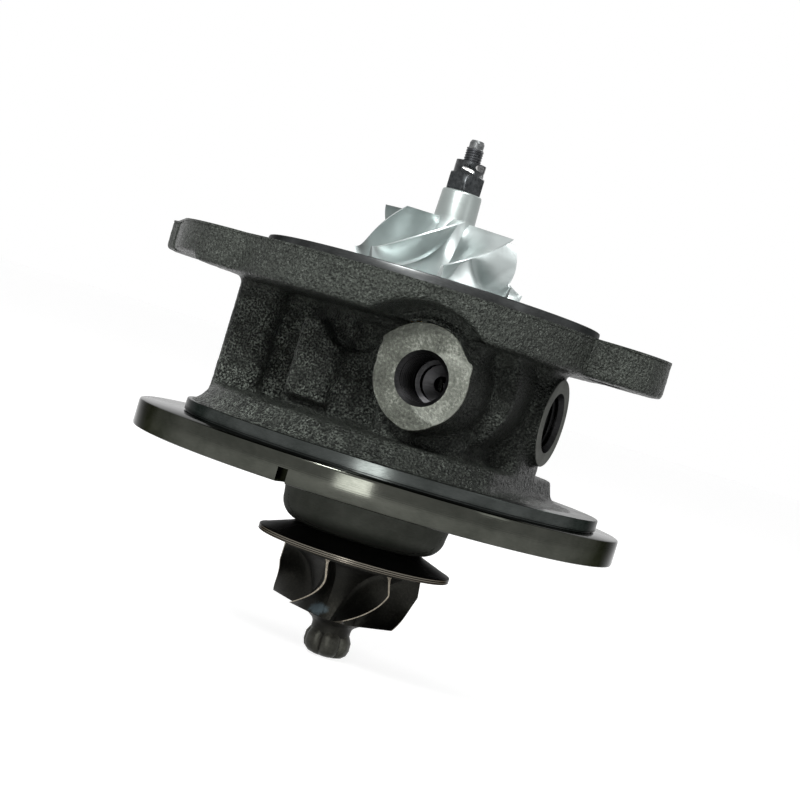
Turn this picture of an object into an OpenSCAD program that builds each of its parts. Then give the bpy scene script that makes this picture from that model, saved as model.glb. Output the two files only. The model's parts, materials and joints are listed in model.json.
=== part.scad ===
// Turbo cartridge: centre housing with its rotating assembly.
// Axis of the rotor is Z, compressor side up. Origin: rotor axis at the compressor flange face.

/* [Turbine flange] */
// Outside diameter of the round turbine flange ring
ring_d = 100; // [98:0.5:102]
// Thickness of the turbine flange ring
ring_t = 4.9; // [4.5:0.1:5.3]
// Distance from the compressor flange face down to the turbine flange seat
flange_gap = 41.7; // [41.4:0.1:42]
// Diameter of the machined band above the ring
band_d = 86; // [85:0.5:87]
// Height of the machined band
band_h = 2.4; // [2:0.1:2.6]
// Width of the locating notch in the ring
notch_w = 2; // [1.5:0.1:3]
// Height of the locating notch in the ring
notch_h = 2.7; // [2.4:0.1:3]

/* [Compressor flange] */
// Thickness of the compressor flange
flange_t = 7.5; // [7:0.1:8]
// Radius of the middle of the compressor flange
flange_r = 41.5; // [40.5:0.5:42.5]
// Diameter of the compressor spigot
spigot_d = 69.4; // [68:0.2:70]
// Height of the compressor spigot
spigot_h = 2; // [1.8:0.1:2.4]
// Distance from the axis to the left bolt hole
left_lobe_x = 46.5; // [46:0.5:48]
// Distance from the axis to the right bolt hole
right_lobe_x = 39.3; // [39:0.1:40]
// Distance from the axis to the rear bolt hole
rear_lobe_y = 44; // [43:0.5:45]
// Radius of the lobes round the bolt holes
lobe_r = 11; // [10.5:0.1:11.5]
// Thickness of the left lobe above its milled underside
left_lobe_t = 6.3; // [6:0.1:6.8]
// Sideways shift of the middle of the flange towards the oil side
flange_shift = 2.2; // [1.8:0.1:2.6]
// Diameter of the bolt holes
bolt_hole_d = 6.6; // [6:0.1:7]

/* [Ports] */
// Core diameter of the oil inlet thread
oil_core_d = 8.92; // [8.6:0.02:9.2]
// Sideways place of the oil inlet
oil_x = 14.1; // [13.8:0.1:14.4]
// Height of the oil inlet below the flange face
oil_drop = 16.8; // [16.5:0.1:17.1]
// Distance from the axis to the oil inlet face
oil_face = 33; // [32.5:0.5:33.5]
// Core diameter of the coolant threads
coolant_core_d = 10.4; // [10:0.1:10.8]
// Height of the coolant ports below the flange face
coolant_drop = 17.8; // [17.5:0.1:18]
// Distance from the axis to the right coolant face
coolant_right = 31.8; // [31.4:0.2:32.4]
// Distance from the axis to the left coolant face
coolant_left = 36.5; // [36:0.5:37]
// Diameter of the oil drain bore
drain_d = 15; // [14:0.5:16]

/* [Rotor] */
// Diameter of the shaft in the journal bushes
journal_d = 6.94; // [6.92:0.01:6.96]
// Diameter of the compressor wheel at its outlet
compressor_d = 36.4; // [35.8:0.2:37]
// Diameter of the compressor wheel at its inlet
inducer_d = 28.4; // [27.8:0.2:29]
// Number of compressor blades
compressor_blades = 7; // [6:1:8]
// Tip diameter of the turbine wheel
turbine_d = 30; // [29.4:0.2:30.6]
// Outlet diameter of the turbine wheel
exducer_d = 27; // [26.4:0.2:27.6]
// Number of turbine blades
turbine_blades = 7; // [6:1:8]
// Hexagon of the compressor nut across its flats
nut_af = 7; // [6.8:0.1:7.2]

/* [Hidden] */
$fn = 96;
// How far a cut runs past the face it opens
over = 1;
// Break of machined edges
edge = 0.5;
// How far the flanks of a lobe start inside its circles
flank_inset = 0.04;

// Turbine side
seat_z = -flange_gap;
ring_top = seat_z + ring_t;
band_top = ring_top + band_h;
notch_depth = 4;
register_r = 40;
register_h = 1.4;
band_shift = 1.9;
band_relief = 0.5;
shoulder_r = 33;
shoulder_h = 1.2;
boss_bottom = -51.1;
boss_top_r = 17.9;
boss_low_r = 17;
boss_round = 4.4;
shield_t = 0.8;
shield_r = 20;
shield_eye_r = 7.4;
shield_seat_r = 12.4;
shield_rim_z = -54.7;

// Casting
core_r = 20;
plinth_z = -29.4;
plinth_slope = 5;
plinth_round = 6;
plinth_right = coolant_right - 2;
web_top = -flange_t + 3.5;
web_foot = plinth_z - 2;
wall_t = 10;
wall_half = 12.3;
web_front = 7;
patch_x = [-15.6, -6, 2];
patch_y = 23.5;
patch_top = -11.3;
scoop_r = 6;
scoop = [-6, -9.6];
oil_boss_r = 10;
oil_root_r = 15;
oil_root_y = 19.5;
oil_spotface_r = 13.5;
coolant_boss_r = 9;
drain_face = 34;
drain_z = -24;
drain_block = [22, -33.5, -14];
drain_bolt_x = 15.5;
drain_bolt_r = 2.5;
drain_bolt_depth = 11;
plinth_rear = drain_face - edge;
// Roots of the flange lobes on its disc: x, y and radius
left_front_root = [-26, -14, 22];
left_rear_root = [-20, 8, 24];
right_root = [14, 0, 15.5];
rear_root = [0, 14, 22];

// Ports and galleries
oil_depth = 10;
oil_lead = 0.8;
oil_step_r = 3.6;
oil_step = 2;
gallery_r = 1.4;
gallery_wall = 2.2;
// How far the galleries start above the floor of the oil inlet
gallery_start = 1.2;
coolant_depth = 11;
coolant_lead = 0.9;
coolant_way_r = 4;
jacket_in = 12.5;
jacket_out = 18.5;
jacket_z = [-31, -12.5];
drain_wall = 3;

// Bearing bore, bushes and their clips
bush_r = 5.5;
bush_play = 0.04;
bush_len = 6;
bush_z = [-18.2, -38.8];
bush_hole_r = 0.8;
clip_t = 0.8;
clip_r = 6.2;
clip_in = 4.7;
clip_mouth = 2.5;
clip_gap = 0.15;
clip_play = 0.3;
bore_top = -10.4;
bore_bottom = -41.5;
oil_room_r = 8;
oil_room_z = [-30.5, -20.5];
turbine_room_r = 10;
turbine_room_z = -44;
drain_floor = oil_room_r - 1;

// Seal plate with its ring seal and snap ring
plate_r = 25.9;
plate_fit = 0.1;
plate_bottom = -5.5;
plate_top = -0.5;
plate_recess_r = 9;
plate_web = -3.8;
plate_groove_z = -3.1;
plate_groove = 1.6;
o_ring_r = 0.72;
o_ring_gap = 0.13;
pocket_r = plate_r + plate_fit;
snap_bite = 1.2;
snap_reach = 2.2;
snap_t = 1.1;
snap_play = 0.05;
snap_fit = 0.2;
snap_mouth = 8;

// Thrust bearing with its pins and deflector
thrust_r = 15.9;
thrust_fit = 0.1;
thrust_bottom = -8.2;
thrust_top = -6.2;
thrust_play = 0.1;
thrust_groove = 1;
thrust_drain = [7.2, 10];
washer_room_r = 11;
pin_x = 13.3;
pin_r = 1.2;
pin_bottom = -11;
pin_clear = 0.4;
deflector_gap = 0.05;
deflector_in = 8.4;
deflector_drain = [12, 11];

// Stack on the shaft
stub_r = 2.2;
collar_r = 7.5;
washer_t = 1.5;
washer_top = thrust_bottom - thrust_play;
shoulder_z = washer_top - washer_t;
sleeve_r = 3.9;
sleeve_play = 0.3;
collar_bottom = thrust_top + thrust_play;
collar_top = collar_bottom + 1.2;
flinger_r = 5;
flinger_disc_r = 6.6;
flinger_disc_t = 0.8;
wheel_base = 1;
wheel_top = 21.4;
nut_hex_top = 25;
nut_top = 27.6;
nut_collar_r = 3.1;
thread_r = 1.95;
thread_end = 30.4;
tip_r = 1.5;
shaft_top = 32.2;
waist_r = 3.1;
waist_margin = 1.8;
waist_slope = 0.6;

// Gas seals: each ring's inside radius, lowest z and thickness
ring_side = 0.1;
ring_under = 0.2;
seal_bore_r = 5.15;
seal_ring = [4.25, -2.5, 1];
seal_gap = 0.3;
hub_seal_r = 6.85;
hub_seal_bore = 7.1;
hub_ring = [5.8, -47.2, 1.4];
hub_gap = 0.4;
hub_top = -43.2;
weld_z = -52.5;

// Turbine wheel
blade_inlet_top = -55.8;
blade_inlet_bottom = -59.4;
turbine_end = -68.2;
nose_top = -71;
nose_bottom = -76;

function mix(a, b, t) = a + (b - a) * t;

// Plain solids
module pipe(r_out, r_in, z0, z1) {
    translate([0, 0, z0])
        difference() {
            cylinder(r = r_out, h = z1 - z0);
            translate([0, 0, -over]) cylinder(r = r_in, h = z1 - z0 + 2 * over);
        }
}

module rod(r, z0, z1) {
    translate([0, 0, z0]) cylinder(r = r, h = z1 - z0);
}

module block(x0, x1, y0, y1, z0, z1) {
    translate([x0, y0, z0]) cube([x1 - x0, y1 - y0, z1 - z0]);
}

// Upright pillar with four rounded corners
module pillar(x0, x1, y0, y1, z0, z1, r) {
    translate([0, 0, z0])
        linear_extrude(z1 - z0) {
            translate([x0 + r, y0]) square([x1 - x0 - 2 * r, y1 - y0]);
            translate([x0, y0 + r]) square([x1 - x0, y1 - y0 - 2 * r]);
            for (x = [x0 + r, x1 - r], y = [y0 + r, y1 - r]) translate([x, y]) circle(r);
        }
}

// Two circles [x, y, radius] joined by straight flanks that start just inside them
module link(a, b) {
    way = [b.x - a.x, b.y - a.y];
    turn = atan2(way.y, way.x);
    open = acos((a.z - b.z) / norm(way));
    function on(c, w) = [c.x, c.y] + (c.z - flank_inset) * [cos(w), sin(w)];
    for (c = [a, b]) translate([c.x, c.y]) circle(c.z);
    polygon([on(a, turn + open), on(b, turn + open), on(b, turn - open), on(a, turn - open)]);
}

// Cylinder between two points
module drill(a, b, r) {
    way = b - a;
    translate(a)
        rotate([0, acos(way.z / norm(way)), atan2(way.y, way.x)])
            cylinder(r = r, h = norm(way), $fn = 32);
}

// Cylinder along Y from y0 to y1, round a place [x, z]
module bar_y(place, r, y0, y1) {
    translate([place.x, y1, place.y]) rotate([90, 0, 0]) cylinder(r = r, h = y1 - y0);
}

// Blade swept from inlet (s = 0) to outlet (s = 1) and from hub (t = 0) to tip (t = 1).
// place(s, t) gives [radius, angle, height] and thick(t) gives the full thickness.
module blade(place, thick) {
    root = 0.06;
    along = 8;
    across = 3;
    row = across + 1;
    sheet = (along + 1) * row;
    function span(j) = mix(-root, 1, j / across);
    function at(i, j, side) =
        let (q = place(i / along, span(j)))
        let (w = q[1] + side * thick(span(j)) / q[0] * 90 / PI)
        [q[0] * cos(w), q[0] * sin(w), q[2]];
    function quad(a, b, c, d) = [[a, b, c], [a, c, d]];
    points = [for (side = [-1, 1], i = [0:along], j = [0:across]) at(i, j, side)];
    faces = concat(
        [for (i = [0:along - 1], j = [0:across - 1])
            each quad(i * row + j, i * row + j + 1, (i + 1) * row + j + 1, (i + 1) * row + j)],
        [for (i = [0:along - 1], j = [0:across - 1])
            each quad(sheet + i * row + j, sheet + (i + 1) * row + j,
                sheet + (i + 1) * row + j + 1, sheet + i * row + j + 1)],
        [for (i = [0:along - 1], j = [0, across])
            each j == 0
                ? quad(i * row, (i + 1) * row, sheet + (i + 1) * row, sheet + i * row)
                : quad(i * row + j, sheet + i * row + j, sheet + (i + 1) * row + j, (i + 1) * row + j)],
        [for (j = [0:across - 1], i = [0, along])
            each i == 0
                ? quad(j, sheet + j, sheet + j + 1, j + 1)
                : quad(i * row + j, i * row + j + 1, sheet + i * row + j + 1, sheet + i * row + j)]);
    polyhedron(points, faces);
}

// Bearing housing

module flange_outline() {
    left_lobe = [-left_lobe_x, 0, lobe_r];
    translate([-flange_shift, -flange_shift]) circle(flange_r);
    link(left_front_root, left_lobe);
    link(left_rear_root, left_lobe);
    link(right_root, [right_lobe_x, 0, lobe_r + edge]);
    link(rear_root, [0, rear_lobe_y, lobe_r]);
}

// Ring with its machined rim, and the boss that carries the heat shield
module turbine_ring() {
    ring_r = ring_d / 2;
    boss_edge = [for (w = [0:15:90])
        [boss_low_r - boss_round * (1 - sin(w)), boss_bottom + boss_round * (1 - cos(w))]];
    rotate_extrude()
        polygon(concat([[0, boss_bottom]], boss_edge,
            [[boss_top_r, seat_z + register_h], [register_r, seat_z + register_h], [register_r, seat_z]],
            [[ring_r - edge, seat_z], [ring_r, seat_z + edge], [ring_r, ring_top - edge]],
            [[ring_r - edge, ring_top], [0, ring_top]]));
}

// Machined band with the relief at its foot, and the flat cast shoulder above it
module turbine_band() {
    band_r = band_d / 2;
    foot_r = band_r - band_relief;
    translate([band_shift, band_shift / 3, 0])
        rotate_extrude()
            polygon([[0, ring_top - over], [foot_r, ring_top - over], [foot_r, ring_top + band_relief],
                [band_r, ring_top + band_relief], [band_r, band_top - edge], [foot_r, band_top],
                [band_r - 4, band_top + shoulder_h / 3], [shoulder_r, band_top + shoulder_h],
                [0, band_top + shoulder_h]]);
}

// Plinth of the casting, sloping in front and cut straight on the right and below the oil drain
module plinth() {
    foot_r = band_d / 2 - 1.6;
    intersection() {
        rotate_extrude()
            polygon([[0, band_top], [foot_r, band_top],
                [foot_r - plinth_slope / 2, band_top + shoulder_h],
                [foot_r - plinth_slope, plinth_z], [0, plinth_z]]);
        pillar(-ring_d, plinth_right, -ring_d, plinth_rear, band_top - over, plinth_z + over, plinth_round);
    }
}

// Raised patch on the front of the core, with a round scoop out of its upper corner
module core_patch() {
    difference() {
        translate([0, 0, web_foot])
            linear_extrude(patch_top - web_foot)
                polygon([[patch_x[0], 0], [patch_x[0], -patch_y], [patch_x[1], -patch_y],
                    [patch_x[2], -oil_root_y], [patch_x[2], 0]]);
        bar_y(scoop, scoop_r, -patch_y - over, 0);
    }
}

module oil_boss() {
    bar_y([oil_x, -oil_drop], oil_boss_r, -oil_face, 0);
    bar_y([oil_x - 0.5, -oil_drop + 2], oil_root_r, -oil_root_y, 0);
    // Neck up to the flange, and the rib down to the plinth
    pillar(oil_x - 7.5, oil_x + 8.5, -oil_face + 4, 0, -oil_drop, web_top, 3);
    pillar(oil_x - 9.3, oil_x - 1, -oil_face + 4.5, 0, web_foot, -oil_drop, 2.5);
    pillar(oil_x - 2.1, oil_x + 7.9, -oil_root_y - 4.5, 0, web_foot, web_top, 4.5);
}

module coolant_bosses() {
    // Left: flat wall with a web to the core
    wall_x = -coolant_left + wall_t;
    pillar(-coolant_left, wall_x, -wall_half, wall_half, web_foot, web_top, 2.5);
    pillar(wall_x - 4, -jacket_in, -web_front, wall_half, web_foot, web_top, 2);
    // Right: round boss on a square root
    translate([0, 0, -coolant_drop]) rotate([0, 90, 0]) cylinder(r = coolant_boss_r, h = coolant_right);
    pillar(jacket_in, coolant_right - 1.2, -web_front, web_front, -coolant_drop, web_top, 2.5);
    pillar(jacket_in, coolant_right - 2, -coolant_boss_r, coolant_boss_r,
        web_foot, -coolant_drop + 5.6, 2.5);
    pillar(8, 24, -core_r + 2, core_r - 2, web_foot, web_top, 4);
}

module cast_outside() {
    turbine_ring();
    turbine_band();
    plinth();
    rod(core_r, band_top, web_top);
    translate([0, 0, -flange_t]) linear_extrude(flange_t) flange_outline();
    rod(spigot_d / 2, -over, spigot_h);
    core_patch();
    oil_boss();
    coolant_bosses();
    // Oil drain block
    pillar(-drain_block[0], drain_block[0], 5, drain_face, drain_block[1], drain_block[2], 4);
}

// Oil gallery of radius r from the floor of the inlet to the middle of each bush
module galleries(r) {
    floor_y = -oil_face + oil_depth + oil_step;
    for (z = bush_z)
        drill([oil_x, floor_y - gallery_start, -oil_drop], [0, 0, z + bush_len / 2], r);
}

module coolant_jacket() {
    difference() {
        pipe(jacket_out, jacket_in, jacket_z[0], jacket_z[1]);
        // Walls left around the oil galleries and the drain
        galleries(gallery_r + gallery_wall);
        bar_y([0, drain_z], drain_d / 2 + drain_wall, 0, drain_face);
    }
}

// Threaded port drilled along -Z from the face at z = 0, with its lead-in and a narrower way behind it
module port_cut(thread_r, lead, depth, way_r, way_depth) {
    past = edge / 10;
    rod(thread_r, -depth, over);
    rod(way_r, -way_depth, -depth + over);
    translate([0, 0, -lead]) cylinder(r1 = thread_r, r2 = thread_r + lead + past, h = lead + past);
}

module bearing_cuts() {
    // Compressor-side pockets
    rod(pocket_r, plate_bottom, spigot_h + over);
    rod(pocket_r + snap_bite, plate_top - snap_play, plate_top + snap_t + snap_play);
    rod(thrust_r + thrust_fit, thrust_bottom, plate_bottom + over);
    rod(washer_room_r, bore_top, thrust_bottom + over);
    for (side = [-1, 1]) translate([side * pin_x, 0, 0]) rod(pin_r, pin_bottom, thrust_bottom + over);
    // Bearing bore, oil rooms and turbine seal bore
    rod(bush_r + bush_play, bore_bottom - over, bore_top + over);
    for (z = clip_heights()) rod(clip_r + clip_gap, z - clip_gap, z + clip_t + clip_gap);
    rod(oil_room_r, oil_room_z[0], oil_room_z[1]);
    rod(turbine_room_r, turbine_room_z, bore_bottom);
    rod(hub_seal_bore, boss_bottom - over, turbine_room_z + over);
}

module port_cuts() {
    translate([oil_x, -oil_face, -oil_drop])
        rotate([90, 0, 0]) {
            port_cut(oil_core_d / 2, oil_lead, oil_depth, oil_step_r, oil_depth + oil_step);
            cylinder(r = oil_spotface_r, h = core_r);
        }
    galleries(gallery_r);
    for (port = [[coolant_right, 90], [coolant_left, -90]])
        rotate([0, port[1], 0])
            translate([sign(port[1]) * coolant_drop, 0, port[0]])
                port_cut(coolant_core_d / 2, coolant_lead, coolant_depth, coolant_way_r,
                    port[0] - (jacket_in + jacket_out) / 2);
    coolant_jacket();
    // Oil drain with its two tapped holes
    bar_y([0, drain_z], drain_d / 2, drain_floor, drain_face + over);
    for (side = [-1, 1])
        bar_y([side * drain_bolt_x, drain_z], drain_bolt_r,
            drain_face - drain_bolt_depth, drain_face + over);
}

module bearing_housing() {
    color("#3b3c3a")
        difference() {
            cast_outside();
            bearing_cuts();
            port_cuts();
            // Bolt holes and locating notch
            for (hole = [[-left_lobe_x, 0], [right_lobe_x, 0], [0, rear_lobe_y]])
                translate(hole) rod(bolt_hole_d / 2, -flange_t - over, over);
            block(-notch_w / 2, notch_w / 2, -ring_d, -ring_d / 2 + notch_depth,
                seat_z - over, seat_z + notch_h);
            // Milled seat under the left lobe
            block(-ring_d, -coolant_left - edge, -ring_d, ring_d, -flange_t - over, -left_lobe_t);
        }
}

// Lowest point of each clip, from the compressor end to the turbine end
function clip_heights() = [for (z = bush_z) each [z + bush_len + clip_play, z - clip_play - clip_t]];

module heat_shield() {
    bend = 1.6;
    color("#8a837b")
        rotate_extrude()
            polygon([[shield_eye_r, boss_bottom], [shield_seat_r, boss_bottom],
                [shield_seat_r + bend, boss_bottom - edge], [shield_r, shield_rim_z + shield_t],
                [shield_r, shield_rim_z], [shield_r - shield_t, shield_rim_z],
                [shield_seat_r + bend - edge, boss_bottom - shield_t - edge],
                [shield_seat_r, boss_bottom - shield_t], [shield_eye_r, boss_bottom - shield_t]]);
}

// Seal plate group

module seal_plate() {
    groove_r = plate_r - plate_groove;
    groove_top = plate_groove_z + plate_groove / 2;
    groove_bottom = plate_groove_z - plate_groove / 2;
    color("#9a9a96")
        rotate_extrude()
            polygon([[seal_bore_r, plate_top], [plate_r, plate_top], [plate_r, groove_top],
                [groove_r, groove_top], [groove_r, groove_bottom], [plate_r, groove_bottom],
                [plate_r, plate_bottom], [plate_recess_r, plate_bottom],
                [plate_recess_r, plate_web], [seal_bore_r, plate_web]]);
}

module seal_plate_o_ring() {
    color("#1c1c1c")
        translate([0, 0, plate_groove_z])
            rotate_extrude()
                translate([pocket_r - o_ring_gap - o_ring_r, 0]) circle(o_ring_r, $fn = 32);
}

module seal_plate_retaining_ring() {
    snap_r = pocket_r + snap_bite - snap_fit;
    color("#55575a")
        difference() {
            pipe(snap_r, pocket_r - snap_reach, plate_top, plate_top + snap_t);
            block(-snap_mouth / 2, snap_mouth / 2, -2 * snap_r, 0,
                plate_top - over, plate_top + snap_t + over);
        }
}

// Thrust bearing group

module thrust_bearing() {
    bore = sleeve_r + sleeve_play;
    color("#a8823f")
        difference() {
            pipe(thrust_r, bore, thrust_bottom, thrust_top);
            for (side = [-1, 1])
                translate([side * pin_x, 0, 0]) rod(pin_r, thrust_bottom - over, thrust_top + over);
            // Oil grooves between the pads, on both faces
            for (w = [45:90:315], z = [thrust_bottom, thrust_top])
                rotate([0, 0, w])
                    block(bore - edge, collar_r, -thrust_groove / 2, thrust_groove / 2,
                        z - thrust_groove / 2, z + thrust_groove / 2);
            // Gap towards the oil drain
            block(-thrust_drain[0] / 2, thrust_drain[0] / 2, thrust_drain[1], thrust_r + over,
                thrust_bottom - over, thrust_top + over);
        }
}

module thrust_bearing_pins() {
    color("#b9bab8")
        for (side = [-1, 1]) translate([side * pin_x, 0, 0]) rod(pin_r, pin_bottom, thrust_top);
}

module oil_deflector() {
    low = thrust_top + deflector_gap;
    color("#a5a7a6")
        difference() {
            pipe(thrust_r, deflector_in, low, plate_bottom);
            block(-deflector_drain[0] / 2, deflector_drain[0] / 2, deflector_drain[1], thrust_r + over,
                low - over, plate_bottom + over);
            for (side = [-1, 1])
                translate([side * pin_x, 0, 0]) rod(pin_r + pin_clear, low - over, plate_bottom + over);
        }
}

// Split rings and wire clips

module split_ring(r_out, r_in, z0, t, gap) {
    difference() {
        pipe(r_out, r_in, z0, z0 + t);
        block(-gap / 2, gap / 2, 0, 2 * r_out, z0 - over, z0 + t + over);
    }
}

module compressor_seal_ring() {
    color("#4a4a4c") split_ring(seal_bore_r, seal_ring[0], seal_ring[1], seal_ring[2], seal_gap);
}

module turbine_seal_ring() {
    color("#4a4a4c") split_ring(hub_seal_bore, hub_ring[0], hub_ring[1], hub_ring[2], hub_gap);
}

module bush_clip(z) {
    color("#6f7072") split_ring(clip_r, clip_in, z, clip_t, clip_mouth);
}

module compressor_bush_outer_clip() { bush_clip(clip_heights()[0]); }

module compressor_bush_inner_clip() { bush_clip(clip_heights()[1]); }

module turbine_bush_inner_clip() { bush_clip(clip_heights()[2]); }

module turbine_bush_outer_clip() { bush_clip(clip_heights()[3]); }

// Floating bush with a ring of oil holes
module floating_bush(z) {
    color("#b08d4a")
        difference() {
            pipe(bush_r, journal_d / 2 + bush_play, z, z + bush_len);
            for (w = [0:60:300])
                rotate([0, 0, w])
                    translate([0, 0, z + bush_len / 2])
                        rotate([0, 90, 0]) cylinder(r = bush_hole_r, h = bush_r + over);
        }
}

module compressor_bush() { floating_bush(bush_z[0]); }

module turbine_bush() { floating_bush(bush_z[1]); }

// Rotor

module rotor_shaft() {
    journal_r = journal_d / 2;
    groove_r = hub_ring[0] - ring_under;
    groove_low = hub_ring[1] - ring_side;
    groove_high = hub_ring[1] + hub_ring[2] + ring_side;
    waist_low = bush_z[1] + bush_len + waist_margin;
    waist_high = bush_z[0] - waist_margin;
    color("#77787a")
        rotate_extrude()
            polygon([[0, weld_z], [hub_seal_r, weld_z], [hub_seal_r, groove_low], [groove_r, groove_low],
                [groove_r, groove_high], [hub_seal_r, groove_high], [hub_seal_r, hub_top],
                [hub_seal_r - 2.2, hub_top + waist_slope], [journal_r, bush_z[1] - 2 * clip_t],
                [journal_r, waist_low], [waist_r, waist_low + waist_slope],
                [waist_r, waist_high - waist_slope], [journal_r, waist_high],
                [journal_r, shoulder_z], [stub_r, shoulder_z],
                [stub_r, wheel_top - edge], [thread_r, wheel_top - edge / 2], [thread_r, thread_end],
                [tip_r, thread_end + edge / 2], [tip_r, shaft_top - edge], [tip_r - edge / 2, shaft_top],
                [0, shaft_top]]);
}

module thrust_washer() {
    color("#8b8d90") pipe(collar_r, stub_r, shoulder_z, washer_top);
}

module thrust_collar() {
    color("#8b8d90")
        rotate_extrude()
            polygon([[stub_r, washer_top], [sleeve_r, washer_top], [sleeve_r, collar_bottom],
                [collar_r, collar_bottom], [collar_r, collar_top], [stub_r, collar_top]]);
}

module oil_flinger() {
    groove_r = seal_ring[0] - ring_under;
    groove_low = seal_ring[1] - ring_side;
    groove_high = seal_ring[1] + seal_ring[2] + ring_side;
    disc_top = collar_top + flinger_disc_t;
    color("#8b8d90")
        rotate_extrude()
            polygon([[stub_r, collar_top], [flinger_disc_r, collar_top], [flinger_disc_r, disc_top],
                [flinger_r, disc_top], [flinger_r, groove_low], [groove_r, groove_low],
                [groove_r, groove_high], [flinger_r, groove_high], [flinger_r, wheel_base],
                [stub_r, wheel_base]]);
}

// Milled wheel: the hub and shroud lines turn from axial at the eye to radial at the rim
module compressor_wheel() {
    r_out = compressor_d / 2;
    r_in = inducer_d / 2;
    eye = [4.3, 15.4];
    eye_lift = 0.6;
    nose_r = 3.7;
    rim_inset = 0.7;
    hub_edge = 1.9;
    tip_top = 14.8;
    tip_edge = 5.2;
    sweep = -59.5;
    lean = 6;
    first = -62;
    root_t = 1.3;
    tip_t = 0.55;
    steps = 12;
    function hub(s) = [eye[0] + (r_out - rim_inset - eye[0]) * (1 - cos(90 * s)),
        eye[1] - (eye[1] - hub_edge) * sin(90 * s)];
    function tip(s) = [r_in + (r_out - r_in) * (1 - cos(90 * s)),
        tip_top - (tip_top - tip_edge) * sin(90 * s)];
    place = function (s, t)
        let (a = hub(s), b = tip(s))
        [mix(a[0], b[0], t), sweep * sin(90 * s) - lean * (1 - s) * (1 - t), mix(a[1], b[1], t)];
    thick = function (t) mix(root_t, tip_t, max(t, 0));
    color("#c3cace")
        difference() {
            union() {
                rotate_extrude()
                    polygon(concat([[0, wheel_base], [r_out - edge, wheel_base]],
                        [[r_out, wheel_base + edge], [r_out, hub_edge]],
                        [for (i = [steps:-1:1]) hub(i / steps)],
                        [[eye[0], eye[1] + eye_lift], [nose_r + edge, wheel_top - edge]],
                        [[nose_r, wheel_top], [0, wheel_top]]));
                for (k = [0:compressor_blades - 1])
                    rotate([0, 0, first + k * 360 / compressor_blades]) blade(place, thick);
            }
            rod(stub_r, -over, wheel_top + over);
        }
}

// Cast wheel: radial inlet under the back disc, axial outlet with backward-turned blades
module turbine_wheel() {
    r_tip = turbine_d / 2;
    r_hub = 5.8;
    rim_inset = 0.4;
    rim_top = blade_inlet_top + 1.4;
    shroud_end = -66.5;
    sweep = -25.7;
    curl = 1.6;
    lean = 3.3;
    first = -89;
    root_t = 1.9;
    tip_t = 0.8;
    steps = 12;
    neck_r = 4;
    function hub(s) = [r_hub + (r_tip - rim_inset - r_hub) * (1 - sin(90 * s)),
        blade_inlet_top + (turbine_end - blade_inlet_top) * (1 - cos(90 * s))];
    function tip(s) = [mix(r_tip, exducer_d / 2, sin(90 * s)), mix(blade_inlet_bottom, shroud_end, s)];
    place = function (s, t)
        let (a = hub(s), b = tip(s))
        [mix(a[0], b[0], t), sweep * pow(s, curl) + lean * t * (1 - s), mix(a[1], b[1], t)];
    thick = function (t) mix(root_t, tip_t, max(t, 0));
    color("#5d564e") {
        rotate_extrude()
            polygon(concat([[0, weld_z], [hub_seal_r, weld_z], [hub_seal_r + 1.6, weld_z - 0.7]],
                [[r_tip - rim_inset, rim_top + rim_inset], [r_tip, rim_top], [r_tip, blade_inlet_top]],
                [for (i = [0:steps]) hub(i / steps)],
                [[neck_r + 0.4, turbine_end - 1.2], [neck_r, turbine_end - 2], [neck_r, nose_top - 0.2]],
                [[0, nose_top - 0.2]]));
        for (k = [0:turbine_blades - 1])
            rotate([0, 0, first + k * 360 / turbine_blades]) blade(place, thick);
        turbine_nose(neck_r);
    }
}

// Six-lobed nose that the wheel was held by
module turbine_nose(neck_r) {
    lobe_x = 3.1;
    nose_lobe_r = 1.35;
    nose_r = lobe_x + nose_lobe_r;
    intersection() {
        union() {
            rod(neck_r, nose_bottom - edge, nose_top);
            for (w = [0:60:300])
                rotate([0, 0, w])
                    translate([lobe_x, 0, nose_bottom - edge])
                        cylinder(r = nose_lobe_r, h = nose_top - nose_bottom + edge - 0.2, $fn = 32);
        }
        rotate_extrude()
            polygon([[0, nose_bottom], [nose_r - 1.6, nose_bottom], [nose_r - 0.5, nose_bottom + 0.8],
                [nose_r, nose_bottom + 2.2], [nose_r, nose_top - 1], [neck_r, nose_top + 0.1],
                [0, nose_top + 0.1]]);
    }
}

module compressor_nut() {
    corner_r = nut_af / 2 / cos(30);
    turned_r = corner_r + edge / 10;
    hex_turn = -71;
    // Balance cuts ground into the collar: angle, height and radius of the stone
    cuts = [[-28, 26.8, 1.1], [18, 26, 0.9], [62, 27, 1]];
    cut_x = nut_collar_r + 0.8;
    color("#35373a")
        difference() {
            union() {
                intersection() {
                    translate([0, 0, wheel_top])
                        rotate([0, 0, hex_turn])
                            cylinder(r = corner_r, h = nut_hex_top - wheel_top, $fn = 6);
                    rotate_extrude()
                        polygon([[0, wheel_top], [nut_af / 2 + 0.2, wheel_top],
                            [turned_r, wheel_top + edge], [turned_r, nut_hex_top - edge],
                            [nut_af / 2, nut_hex_top], [0, nut_hex_top]]);
                }
                rod(nut_collar_r, nut_hex_top - 0.1, nut_top);
            }
            rod(thread_r, wheel_top - over, nut_top + over);
            for (cut = cuts)
                rotate([0, 0, cut[0]])
                    translate([cut_x, 0, cut[1]])
                        rotate([90, 0, 0]) cylinder(r = cut[2], h = nut_af, center = true, $fn = 32);
        }
}

bearing_housing();
heat_shield();
seal_plate();
seal_plate_o_ring();
seal_plate_retaining_ring();
thrust_bearing();
thrust_bearing_pins();
oil_deflector();
compressor_seal_ring();
turbine_seal_ring();
compressor_bush_outer_clip();
compressor_bush_inner_clip();
turbine_bush_inner_clip();
turbine_bush_outer_clip();
compressor_bush();
turbine_bush();
rotor_shaft();
turbine_wheel();
thrust_washer();
thrust_collar();
oil_flinger();
compressor_wheel();
compressor_nut();
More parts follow.
